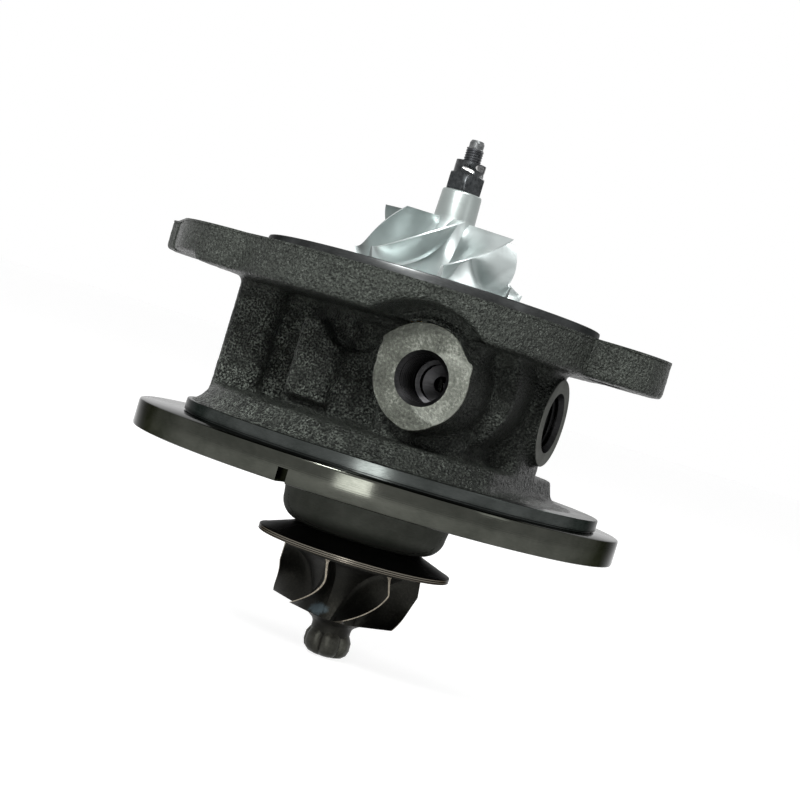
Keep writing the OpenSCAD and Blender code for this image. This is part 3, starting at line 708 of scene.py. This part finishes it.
def casting():
    """The sand casting: softened, shaped round its bosses, grained, and open where it is machined."""
    mesh = casting_mesh()
    points = rows(mesh.vertices, "co", 3) / MM
    held = points[:, 2] > CAST_HELD_Z
    points = relax(points, rows(mesh.edges, "vertices", 2, int), CAST_ROUNDS, np.where(held, 0.1, 0.5))
    points = shape_left_lobe(shape_core(shape_oil_boss(points)))
    place_points(mesh, points)
    normals = rows(mesh.vertices, "normal", 3)
    grain = np.array([noise.noise(Vector(p) * 0.9) + 0.6 * noise.noise(Vector(p) * 2.1) for p in points])
    points = tuck(points + normals * (grain * CAST_GRAIN)[:, None])
    place_points(mesh, points)
    bm = bmesh.new()
    bm.from_mesh(mesh)
    bm.verts.ensure_lookup_table()
    dropped = [bm.verts[i] for i in np.flatnonzero(machined_away(points))]
    bmesh.ops.delete(bm, geom=dropped, context="VERTS")
    bm.to_mesh(mesh)
    bm.free()
    mesh.name = "housing_casting"
    smooth(mesh, 60.0)
    return add_object("housing_casting", mesh, M_CAST, "housing")


def flange_top():
    """Machined top of the lobed flange, taken from the solid's own face and given a thin edge."""
    bm = bmesh.new()
    bm.from_mesh(nodes["bearing_housing"].data)
    bm.normal_update()
    keep = {f for f in bm.faces if f.normal.z > 0.99 and abs(f.calc_center_median().z) < 0.02 * MM}
    bmesh.ops.delete(bm, geom=[f for f in bm.faces if f not in keep], context="FACES")
    bmesh.ops.remove_doubles(bm, verts=bm.verts, dist=1e-7)
    grown = bmesh.ops.extrude_face_region(bm, geom=bm.faces[:])
    low = [v for v in grown["geom"] if isinstance(v, bmesh.types.BMVert)]
    bmesh.ops.translate(bm, verts=low, vec=(0, 0, -FLANGE_SKIN * MM))
    bmesh.ops.recalc_face_normals(bm, faces=bm.faces)
    points = shape_left_lobe(np.array([v.co for v in bm.verts]) / MM)
    for vert, point in zip(bm.verts, points):
        vert.co = Vector(point) * MM
    mesh = mesh_of(bm, "housing_flange_top")
    smooth(mesh, 30.0)
    add_object("housing_flange_top", mesh, M_FLANGE, "housing")
    paint(mesh, M_CAST, lambda face: face.normal.z < 0.5)


def turbine_ring():
    """Round flange ring with its register and the boss that carries the heat shield."""
    centre = (BOSS_LOW_R - BOSS_ROUND, BOSS_BOTTOM + BOSS_ROUND)
    profile = [(SEAL_BORE_R, -43.0), (SEAL_BORE_R, BOSS_BOTTOM + 0.3), (SEAL_BORE_R + 0.3, BOSS_BOTTOM)]
    profile += arc(centre, BOSS_ROUND, -90, 0, 12)
    profile += [(BOSS_TOP_R - 0.1, REGISTER_TOP - 0.9), (BOSS_TOP_R + 0.3, REGISTER_TOP)]
    profile += [(REGISTER_R - 0.2, REGISTER_TOP), (REGISTER_R, REGISTER_TOP - 0.2)]
    profile += [(REGISTER_R, SEAT_Z + 0.2), (REGISTER_R + 0.2, SEAT_Z)]
    profile += [(RING_R - 0.5, SEAT_Z), (RING_R - 0.12, SEAT_Z + 0.15)]
    profile += [(RING_R, SEAT_Z + 0.5), (RING_R, RING_TOP - 0.5), (RING_R - 0.12, RING_TOP - 0.15)]
    profile += [(RING_R - 0.5, RING_TOP), (30.0, RING_TOP), (12.0, RING_TOP)]
    verts, faces = revolve(profile, 288)
    mesh = mesh_from("housing_ring", verts, faces, 25.0)
    ring = add_object("housing_ring", mesh, M_RING, "housing")
    paint(mesh, M_BOSS, lambda face: face_radius(face) < BOSS_TOP_R + 1.5)
    cut_notch(ring)


def cut_notch(ring):
    """Locating notch in the rim, on the oil side."""
    bm = bmesh.new()
    bmesh.ops.create_cube(bm, size=1)
    bmesh.ops.scale(bm, verts=bm.verts, vec=(2 * NOTCH_HALF * MM, 8 * MM, 6 * MM))
    bmesh.ops.translate(bm, verts=bm.verts, vec=(0, -RING_R * MM, (NOTCH_TOP - 3) * MM))
    subtract(ring, mesh_of(bm, "notch_tool"))


def band():
    """Machined step above the ring, with the relief groove at its foot."""
    profile = [(28.0, RING_TOP - 0.4), (BAND_R - 0.6, RING_TOP - 0.4), (BAND_R - 0.6, RING_TOP + 0.22)]
    profile += [(BAND_R - 0.1, RING_TOP + 0.26), (BAND_R, RING_TOP + 0.36), (BAND_R, BAND_TOP - 0.35)]
    profile += [(BAND_R - 0.05, BAND_TOP - 0.08), (BAND_R - 0.15, BAND_TOP), (28.0, BAND_TOP)]
    verts, faces = revolve(profile, 256)
    verts = [(x + BAND_CENTRE[0], y + BAND_CENTRE[1], z) for x, y, z in verts]
    mesh = mesh_from("housing_band", verts, faces, 25.0)
    add_object("housing_band", mesh, M_BAND, "housing")


def spigot():
    """Round spigot that the compressor housing fits over, and the wall of its pocket."""
    profile = [(POCKET_R, -5.4), (POCKET_R, SPIGOT_TOP - 0.4), (POCKET_R + 0.4, SPIGOT_TOP)]
    profile += [(SPIGOT_R - 0.4, SPIGOT_TOP), (SPIGOT_R - 0.1, SPIGOT_TOP - 0.12)]
    profile += [(SPIGOT_R, SPIGOT_TOP - 0.4), (SPIGOT_R, 0.25)]
    profile += [(SPIGOT_R - 0.2, 0.0), (SPIGOT_R - 0.2, -0.4)]
    verts, faces = revolve(profile, 224)
    mesh = mesh_from("housing_spigot", verts, faces, 25.0)
    add_object("housing_spigot", mesh, M_SPIGOT, "housing")


def oil_outline(turn):
    """Radius of the oil inlet's face in a direction, in radians."""
    angles, radii = zip(*OIL_FACE)
    return np.interp(np.degrees(turn), angles, radii)


def port(name, place, out, core_r, depth, outline, face_material, chamfer, step_r, hole_r):
    """Threaded port: faced front, lead-in, thread, stepped floor and the drilling behind it."""
    pitch, thread_h, segments = 1.0, 0.36, 144
    face_r, corner = 9.0, 0.12
    inner = core_r + chamfer
    front = [(face_r, -1.6), (face_r, -corner), (face_r - corner, 0.0)]
    front += [(mix(face_r - corner, inner, k / 6), 0.0) for k in range(1, 7)]
    profile = front + [(core_r, -chamfer)]
    for k in range(int((depth - chamfer - 1.0) / pitch)):
        top = -chamfer - 0.3 - k * pitch
        profile += [(core_r, top), (core_r + thread_h, top - 0.35 * pitch)]
        profile += [(core_r + thread_h, top - 0.5 * pitch), (core_r, top - 0.85 * pitch)]
    bottom = -depth - 2.0
    profile += [(core_r, -depth), (step_r, -depth - 0.3), (step_r, bottom), (hole_r + 0.15, bottom - 0.5)]
    profile += [(hole_r, bottom - 0.7), (hole_r, bottom - 6.0), (0.001, bottom - 6.4)]
    verts, faces = revolve(profile, segments, close=False)
    count, edge = len(profile), len(front) - 1
    for index, (x, y, z) in enumerate(verts):
        if index % count < edge:
            r = math.hypot(x, y)
            grown = inner + (r - inner) * (outline(math.atan2(y, x)) - inner) / (face_r - inner)
            verts[index] = (x * grown / r, y * grown / r, z)
    turn = Vector((0, 0, 1)).rotation_difference(Vector(out)).to_matrix().to_4x4()
    mesh = mesh_from(name, moved(verts, Matrix.Translation(place) @ turn), faces, 30.0)
    add_object(name, mesh, face_material, "housing")
    # Painted shade: the lead-in, thread, floor and drilling take the near-black bore colour.
    mesh.materials.append(M_SHADED_BORE)
    mesh.materials.append(M_CAST)
    kinds = [2] + [0] * (edge - 1) + [1] * (count - 1 - edge)
    mesh.polygons.foreach_set("material_index", kinds * segments)


def bolt_sleeves():
    """Walls of the flange's bolt holes, painted near-black as shade."""
    verts, faces = [], []
    for (x, y), low in zip(BOLT_HOLES, BOLT_SEATS):
        profile = [(BOLT_HOLE_R + 1.3, low - 0.02), (BOLT_HOLE_R, low - 0.02), (BOLT_HOLE_R, -0.3)]
        profile += [(BOLT_HOLE_R + 0.3, 0.0), (BOLT_HOLE_R + 0.5, -0.5)]
        ring_verts, ring_faces = revolve(profile, 64)
        start = len(verts)
        verts += [(px + x, py + y, pz) for px, py, pz in ring_verts]
        faces += [tuple(i + start for i in f) for f in ring_faces]
    mesh = mesh_from("housing_bolt_holes", verts, faces)
    add_object("housing_bolt_holes", mesh, M_SHADED_BORE, "housing")


def housing():
    """Every visible piece of the bearing housing."""
    cast = casting()
    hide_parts("bearing_housing")
    flange_top()
    turbine_ring()
    band()
    spigot()
    port("oil_inlet_port", OIL_PORT, (0, -1, 0), OIL_CORE_R, OIL_DEPTH, oil_outline, M_OIL_FACE,
         chamfer=0.8, step_r=3.6, hole_r=1.4)
    coolant_ports = (("coolant_outlet_port", COOLANT_RIGHT, 1), ("coolant_inlet_port", -COOLANT_LEFT, -1))
    for name, x, out in coolant_ports:
        port(name, (x, 0, COOLANT_Z), (out, 0, 0), COOLANT_CORE_R, COOLANT_DEPTH,
             lambda turn: COOLANT_FACE_R, M_DARK_FACE, chamfer=0.9, step_r=4.0, hole_r=3.9)
    port("oil_drain_port", DRAIN_PORT, (0, 1, 0), DRAIN_R, DRAIN_DEPTH,
         lambda turn: DRAIN_FACE_R, M_FACE, chamfer=0.6, step_r=6.5, hole_r=6.4)
    bolt_sleeves()


# Wheels

MILLED_SPAN = 9.0
BODY_SEGMENTS = 168
BLADE_STEPS = 36
SPAN_STEPS = 16
HUB_STEPS = 40


def blade_solid(place, thick, along, spans):
    """Closed blade: place(s, t) gives (radius, angle in degrees, z), thick(s, t) its thickness."""
    row = len(spans)
    verts, milling = [], []
    for side in (-1, 1):
        for i in range(along + 1):
            s = i / along
            for t in spans:
                r, angle, z = place(s, t)
                w = math.radians(angle) + side * thick(s, t) / (2 * r)
                verts.append((r * math.cos(w), r * math.sin(w), z))
                milling.append(MILLED_SPAN * t)
    sheet = (along + 1) * row
    faces = []
    for i in range(along):
        for j in range(row - 1):
            a = i * row + j
            faces.append((a, a + 1, a + row + 1, a + row))
            faces.append((sheet + a, sheet + a + row, sheet + a + row + 1, sheet + a + 1))
    tips = []
    for i in range(along):
        a = i * row
        faces.append((a, a + row, sheet + a + row, sheet + a))
        a += row - 1
        tips.append(len(faces))
        faces.append((a, sheet + a, sheet + a + row, a + row))
    for j in range(row - 1):
        tips.append(len(faces))
        faces.append((j, sheet + j, sheet + j + 1, j + 1))
        a = along * row + j
        tips.append(len(faces))
        faces.append((a, a + 1, sheet + a + 1, sheet + a))
    return verts, faces, tips, milling


def spread(count, power=1.7, root=-0.08):
    """Span stations from inside the hub to the tip, closer together near the root."""
    return [root + (1 - root) * (k / count) ** power for k in range(count + 1)]


def wheel(name, body_profile, place, thick, start, materials):
    """Turned body with its blades. Every point keeps its place across the cutter's passes."""
    verts, faces = revolve(body_profile, BODY_SEGMENTS)
    steps = [math.dist(a, b) for a, b in zip(body_profile, body_profile[1:])]
    milling = [MILLED_SPAN + sum(steps[:k]) for k in range(len(body_profile))] * BODY_SEGMENTS
    kinds = [0] * len(faces)
    blade = blade_solid(place, thick, BLADE_STEPS, spread(SPAN_STEPS))
    blade_verts, blade_faces, tips, blade_milling = blade
    for k in range(BLADES):
        turn = Matrix.Rotation(math.radians(start + k * 360 / BLADES), 4, "Z")
        base = len(verts)
        first = len(faces)
        verts += moved(blade_verts, turn)
        milling += blade_milling
        faces += [tuple(i + base for i in f) for f in blade_faces]
        kinds += [0] * len(blade_faces)
        for i in tips:
            kinds[first + i] = 1
    mesh = mesh_from(name, verts, faces, 40.0)
    mesh.attributes.new("milling", "FLOAT", "POINT").data.foreach_set("value", milling)
    obj = add_object(name, mesh, materials[0], "rotor")
    for extra in materials[1:]:
        mesh.materials.append(extra)
    if len(materials) > 1:
        mesh.polygons.foreach_set("material_index", kinds)
    return obj


def compressor():
    """Milled compressor wheel with seven backswept blades."""
    eye_r = 4.3
    tip_top = 14.8
    hub_edge, tip_edge = 1.9, 5.2
    sweep, lean, first = -59.5, 6.0, -62.0
    root_t, tip_t, fillet_t, fillet_span = 1.15, 0.5, 1.1, 0.05

    def hub(s):
        return (eye_r + (COMPRESSOR_R - 0.7 - eye_r) * (1 - math.cos(QUARTER * s)),
                EYE_Z - (EYE_Z - hub_edge) * math.sin(QUARTER * s))

    def tip(s):
        return (INDUCER_R + (COMPRESSOR_R - INDUCER_R) * (1 - math.cos(QUARTER * s)),
                tip_top - (tip_top - tip_edge) * math.sin(QUARTER * s))

    def place(s, t):
        a, b = hub(s), tip(s)
        turn = sweep * math.sin(QUARTER * s) - lean * (1 - s) * (1 - t)
        return mix(a[0], b[0], t), turn, mix(a[1], b[1], t)

    def thick(s, t):
        body = mix(root_t, tip_t, min(max(t, 0), 1))
        fillet = fillet_t * math.exp(-max(t, 0) / fillet_span)
        nose = 0.45 + 0.55 * min(1, s / 0.06)
        return (body + fillet) * nose

    profile = [(STUB_R, WHEEL_BASE), (COMPRESSOR_R - 0.4, WHEEL_BASE), (COMPRESSOR_R, WHEEL_BASE + 0.3)]
    profile += [(COMPRESSOR_R, hub_edge - 0.1), (COMPRESSOR_R - 0.15, hub_edge)]
    profile += [hub(1 - i / HUB_STEPS) for i in range(HUB_STEPS + 1)]
    profile += [(4.12, WHEEL_TOP - 0.5), (4.0, WHEEL_TOP - 0.15), (3.8, WHEEL_TOP), (STUB_R, WHEEL_TOP)]
    obj = wheel("compressor_wheel_milled", profile, place, thick, first, [M_ALUMINIUM])
    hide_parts("compressor_wheel")


def turbine():
    """Cast turbine wheel with seven curled blades and its nose."""
    inlet_top, inlet_bottom = -55.8, -59.4
    hub_r, hub_end, shroud_end = 5.8, -68.2, -66.5
    sweep, curl, lean, first = -25.7, 2.1, 3.3, -89.0
    root_t, tip_t, fillet_t, fillet_span = (0.5, 1.7), 0.36, (0.9, 1.6), 0.07

    def hub(s):
        return (hub_r + (TURBINE_R - 0.4 - hub_r) * (1 - math.sin(QUARTER * s)),
                inlet_top + (hub_end - inlet_top) * (1 - math.cos(QUARTER * s)))

    def tip(s):
        return mix(TURBINE_R, EXDUCER_R, math.sin(QUARTER * s)), mix(inlet_bottom, shroud_end, s)

    def place(s, t):
        a, b = hub(s), tip(s)
        return mix(a[0], b[0], t), sweep * s ** curl + lean * t * (1 - s), mix(a[1], b[1], t)

    def thick(s, t):
        root = mix(*root_t, min(1, 2 * s))
        fillet = mix(*fillet_t, s) * math.exp(-max(t, 0) / fillet_span)
        return mix(root, tip_t, min(max(t, 0), 1)) + fillet

    profile = [(0.001, WELD_Z), (6.85, WELD_Z), (8.4, WELD_Z - 0.7)]
    profile += [(TURBINE_R - 0.6, -54.0), (TURBINE_R, -54.4), (TURBINE_R, inlet_top)]
    profile += [hub(i / HUB_STEPS) for i in range(HUB_STEPS + 1)]
    profile += arc((5.6, -70.2), 1.55, 130, 180, 6)
    profile += [(4.05, -71.3), (0.001, -71.3)]
    obj = wheel("turbine_wheel_cast", profile, place, thick, first, [M_TURBINE, M_TIP])
    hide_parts("turbine_wheel")
    nose_boss()


def nose_boss():
    """Six-lobed cast boss under the turbine wheel."""
    heights = [(-70.7, 4.0), (-71.4, 4.4), (-72.2, 4.8), (-73.8, 4.85), (-74.9, 4.5)]
    heights += [(-75.6, 3.7), (-75.95, 2.5), (-76.0, 0.02)]
    segments = 120
    verts, faces = [], []
    for z, r in heights:
        for k in range(segments):
            w = 2 * math.pi * k / segments
            lobe = 1 - 0.17 * (1 - abs(math.cos(3 * w))) ** 2
            verts.append((r * lobe * math.cos(w), r * lobe * math.sin(w), z))
    for i in range(len(heights) - 1):
        for k in range(segments):
            a, b = i * segments + k, i * segments + (k + 1) % segments
            faces.append((a, a + segments, b + segments, b))
    mesh = mesh_from("turbine_nose", verts, faces, 60.0)
    add_object("turbine_nose", mesh, M_NOSE, "rotor")


def shield():
    """Dished sheet shield, its sheet painted near-black as shade, with its bright turned rim."""
    rim_top = SHIELD_RIM_Z + SHIELD_RIM_H
    seat = BOSS_BOTTOM - 0.02
    eye_r, seat_r = 7.4, 12.2
    top = [(eye_r, seat), (seat_r, seat), (seat_r + 1.0, seat - 0.18), (seat_r + 2.0, seat - 0.63)]
    top += [(SHIELD_R - 0.9, rim_top + 0.22), (SHIELD_R - 0.15, rim_top)]
    rim = [(SHIELD_R, rim_top - 0.12), (SHIELD_R, SHIELD_RIM_Z + 0.12), (SHIELD_R - 0.15, SHIELD_RIM_Z)]
    under = [(SHIELD_R - 0.9, SHIELD_RIM_Z + 0.02), (seat_r + 1.7, seat - 1.43), (seat_r, seat - SHIELD_T)]
    under += [(eye_r, seat - SHIELD_T)]
    verts, faces = revolve(top + rim + under, 224)
    mesh = mesh_from("heat_shield_sheet", verts, faces, 40.0)
    obj = add_object("heat_shield_sheet", mesh, M_SHIELD, "housing")
    paint(mesh, M_SHIELD_RIM, lambda face: face_radius(face) > SHIELD_R - 0.2)
    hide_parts("heat_shield")


def cylinder_between(start, end, radius):
    """Mesh of a round tool between two points in millimetres."""
    way = Vector(end) - Vector(start)
    bm = bmesh.new()
    turn = way.to_track_quat("Z", "Y").to_matrix().to_4x4()
    place = Matrix.Translation((Vector(start) + way / 2) * MM) @ turn
    bmesh.ops.create_cone(bm, cap_ends=True, segments=32, radius1=radius * MM, radius2=radius * MM,
                          depth=way.length * MM, matrix=place)
    return mesh_of(bm, "round_tool")


def subtract(obj, tool_mesh):
    """Cuts a tool's mesh out of an object for good."""
    tool = bpy.data.objects.new("tool", tool_mesh)
    bpy.context.collection.objects.link(tool)
    cut = obj.modifiers.new("cut", "BOOLEAN")
    cut.object = tool
    cut.solver = "EXACT"
    graph = bpy.context.evaluated_depsgraph_get()
    done = bpy.data.meshes.new_from_object(obj.evaluated_get(graph))
    obj.modifiers.clear()
    obj.data = done
    bpy.data.objects.remove(tool)


def nut():
    """The shaft's nut with one more balance groove, ground across the side of its collar."""
    obj = add_object("balanced_nut", nodes["compressor_nut"].data.copy(), M_NUT, "rotor")
    turn = math.radians(GROOVE_TURN)
    out = Vector((math.cos(turn), math.sin(turn), 0))
    side = Vector((-math.sin(turn), math.cos(turn), GROOVE_TILT)).normalized() * GROOVE_HALF
    middle = out * (NUT_COLLAR_R - GROOVE_DEPTH + GROOVE_R) + Vector((0, 0, GROOVE_Z))
    subtract(obj, cylinder_between(middle - side, middle + side, GROOVE_R))
    smooth(obj.data, 30.0)
    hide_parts("compressor_nut")


def shaft():
    """The shaft, with its thread turned down to the root of the ridges that shaft_thread adds."""
    mesh = nodes["rotor_shaft"].data.copy()
    for vert in mesh.vertices:
        x, y, z = vert.co / MM
        radius = math.hypot(x, y)
        if z > WHEEL_TOP - 0.3 and radius > 1:
            limit = THREAD_ROOT_R if z < THREAD_TO + 0.1 else SHAFT_TIP_R
            vert.co.x *= min(1, limit / radius)
            vert.co.y *= min(1, limit / radius)
    mesh.update()
    obj = add_object("rotor_shaft_turned", mesh, M_SHAFT, "rotor")
    paint(mesh, M_SHAFT_TIP, lambda face: face.center.z / MM > THREAD_TO)
    smooth(mesh, 30.0)
    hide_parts("rotor_shaft")


def shaft_thread():
    """Turns of the thread that stand out of the nut."""
    pitch, ridge, per_turn = 0.5, 0.12, 36
    steps = int((THREAD_TO - THREAD_FROM) / pitch * per_turn)
    ring = [(-0.23, -0.12), (-0.04, ridge), (0.04, ridge), (0.23, -0.12)]
    count = len(ring)
    verts, faces = [], []
    for k in range(steps + 1):
        w = 2 * math.pi * k / per_turn
        z = THREAD_FROM + pitch * k / per_turn
        for dz, dr in ring:
            r = THREAD_ROOT_R + dr
            verts.append((r * math.cos(w), r * math.sin(w), z + dz))
    for k in range(steps):
        for i in range(count):
            a, b = k * count + i, k * count + (i + 1) % count
            faces.append((a, b, b + count, a + count))
    faces += [(3, 2, 1, 0), tuple(steps * count + i for i in range(count))]
    mesh = mesh_from("shaft_thread", verts, faces, 30.0)
    add_object("shaft_thread", mesh, M_SHAFT, "rotor")


# Stage, light and camera

FLOOR_SIZE = 40.0
FLOOR_GAP = 0.3
FLOOR_TONE = (0.38, 0.38, 0.38, 1.0)
FLOOR_GLOW = 0.85
WORLD_LIGHT = 0.10
# Lamps: name, azimuth and elevation in degrees, distance and size in metres, power in watts
LAMPS = (
    ("key", -94, 34, 0.9, (0.16, 0.16), 10.5),
    ("top", -50, 56, 0.9, (0.16, 0.16), 4.5),
    ("window", -79, 0.4, 0.3, (0.075, 0.11), 0.30),
    ("fill", -15, 18, 0.9, (0.2, 0.2), 0.3),
    ("back", 80, 45, 0.9, (0.4, 0.3), 2.0),
)
LAMP_TARGET = Vector((0, 0, -0.02))


def add_floor():
    """Pale floor under the part: bright to the eye and in reflections, and plain to the light."""
    floor_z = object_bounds()[0][2] - FLOOR_GAP * MM
    bpy.ops.mesh.primitive_plane_add(size=FLOOR_SIZE, location=(0, 0, floor_z))
    floor = bpy.context.object
    floor.name = "floor"
    g = Graph("floor_white", Roughness=0.9, Base_Color=FLOOR_TONE)
    path = g.add("ShaderNodeLightPath")
    seen = g.math("MAXIMUM", path.outputs["Is Camera Ray"], path.outputs["Is Glossy Ray"])
    seen = g.math("MAXIMUM", seen, path.outputs["Is Transmission Ray"])
    glow = g.add("ShaderNodeEmission")
    g.link(g.math("MULTIPLY", seen, FLOOR_GLOW), glow, "Strength")
    lit = g.add("ShaderNodeAddShader")
    g.link(g.shader.outputs[0], lit, 0)
    g.link(glow.outputs[0], lit, 1)
    g.link(lit.outputs[0], g.tree.nodes["Material Output"], "Surface")
    floor.data.materials.append(g.material)


def add_surround():
    """White background to the eye and in reflections, which lights the part only a little."""
    world = bpy.data.worlds.new("studio")
    bpy.context.scene.world = world
    world.use_nodes = True
    tree = world.node_tree
    back = tree.nodes["Background"]
    back.inputs["Color"].default_value = (1, 1, 1, 1)
    path = tree.nodes.new("ShaderNodeLightPath")
    seen = path.outputs["Is Camera Ray"]
    for ray in ("Is Transmission Ray", "Is Glossy Ray"):
        either = tree.nodes.new("ShaderNodeMath")
        either.operation = "MAXIMUM"
        tree.links.new(seen, either.inputs[0])
        tree.links.new(path.outputs[ray], either.inputs[1])
        seen = either.outputs[0]
    level = tree.nodes.new("ShaderNodeMapRange")
    level.inputs["To Min"].default_value = WORLD_LIGHT
    level.inputs["To Max"].default_value = 1.0
    tree.links.new(seen, level.inputs["Value"])
    tree.links.new(level.outputs[0], back.inputs["Strength"])


def lamp(name, azimuth, elevation, distance, size, power):
    """Rectangular soft lamp, placed round the part by its angles in degrees."""
    turn, rise = math.radians(azimuth), math.radians(elevation)
    way = Vector((math.cos(turn) * math.cos(rise), math.sin(turn) * math.cos(rise), math.sin(rise)))
    data = bpy.data.lights.new(name, "AREA")
    data.shape = "RECTANGLE"
    data.size, data.size_y = size
    data.energy = power
    obj = bpy.data.objects.new(name, data)
    bpy.context.collection.objects.link(obj)
    obj.location = LAMP_TARGET + way * distance
    obj.rotation_euler = (-way).to_track_quat("-Z", "Y").to_euler()


def camera():
    """The photograph's camera, from its place, pitch and roll."""
    azimuth = Matrix.Rotation(math.radians(CAMERA_AZIMUTH), 3, "Z")
    pitch, roll = math.radians(CAMERA_PITCH), math.radians(CAMERA_ROLL)
    ahead = Vector((0, math.cos(pitch), math.sin(pitch)))
    right = Vector((1, 0, 0))
    up = right.cross(ahead)
    side = math.cos(roll) * right + math.sin(roll) * up
    top = math.cos(roll) * up - math.sin(roll) * right
    data = bpy.data.cameras.new("camera")
    data.sensor_width = SENSOR
    data.lens = FOCAL_PX * SENSOR / IMAGE_SIZE
    data.clip_start = 0.01
    obj = bpy.data.objects.new("camera", data)
    bpy.context.collection.objects.link(obj)
    axes = Matrix([azimuth @ side, azimuth @ top, azimuth @ -ahead]).transposed()
    place = azimuth @ Vector((0, -CAMERA_DISTANCE, CAMERA_Z)) * MM
    obj.matrix_world = Matrix.Translation(place) @ axes.to_4x4()
    bpy.context.scene.camera = obj


housing()
shield()
compressor()
turbine()
nut()
shaft()
shaft_thread()
add_floor()
add_surround()
for row in LAMPS:
    lamp(*row)
camera()
bpy.context.scene.view_settings.view_transform = "Standard"
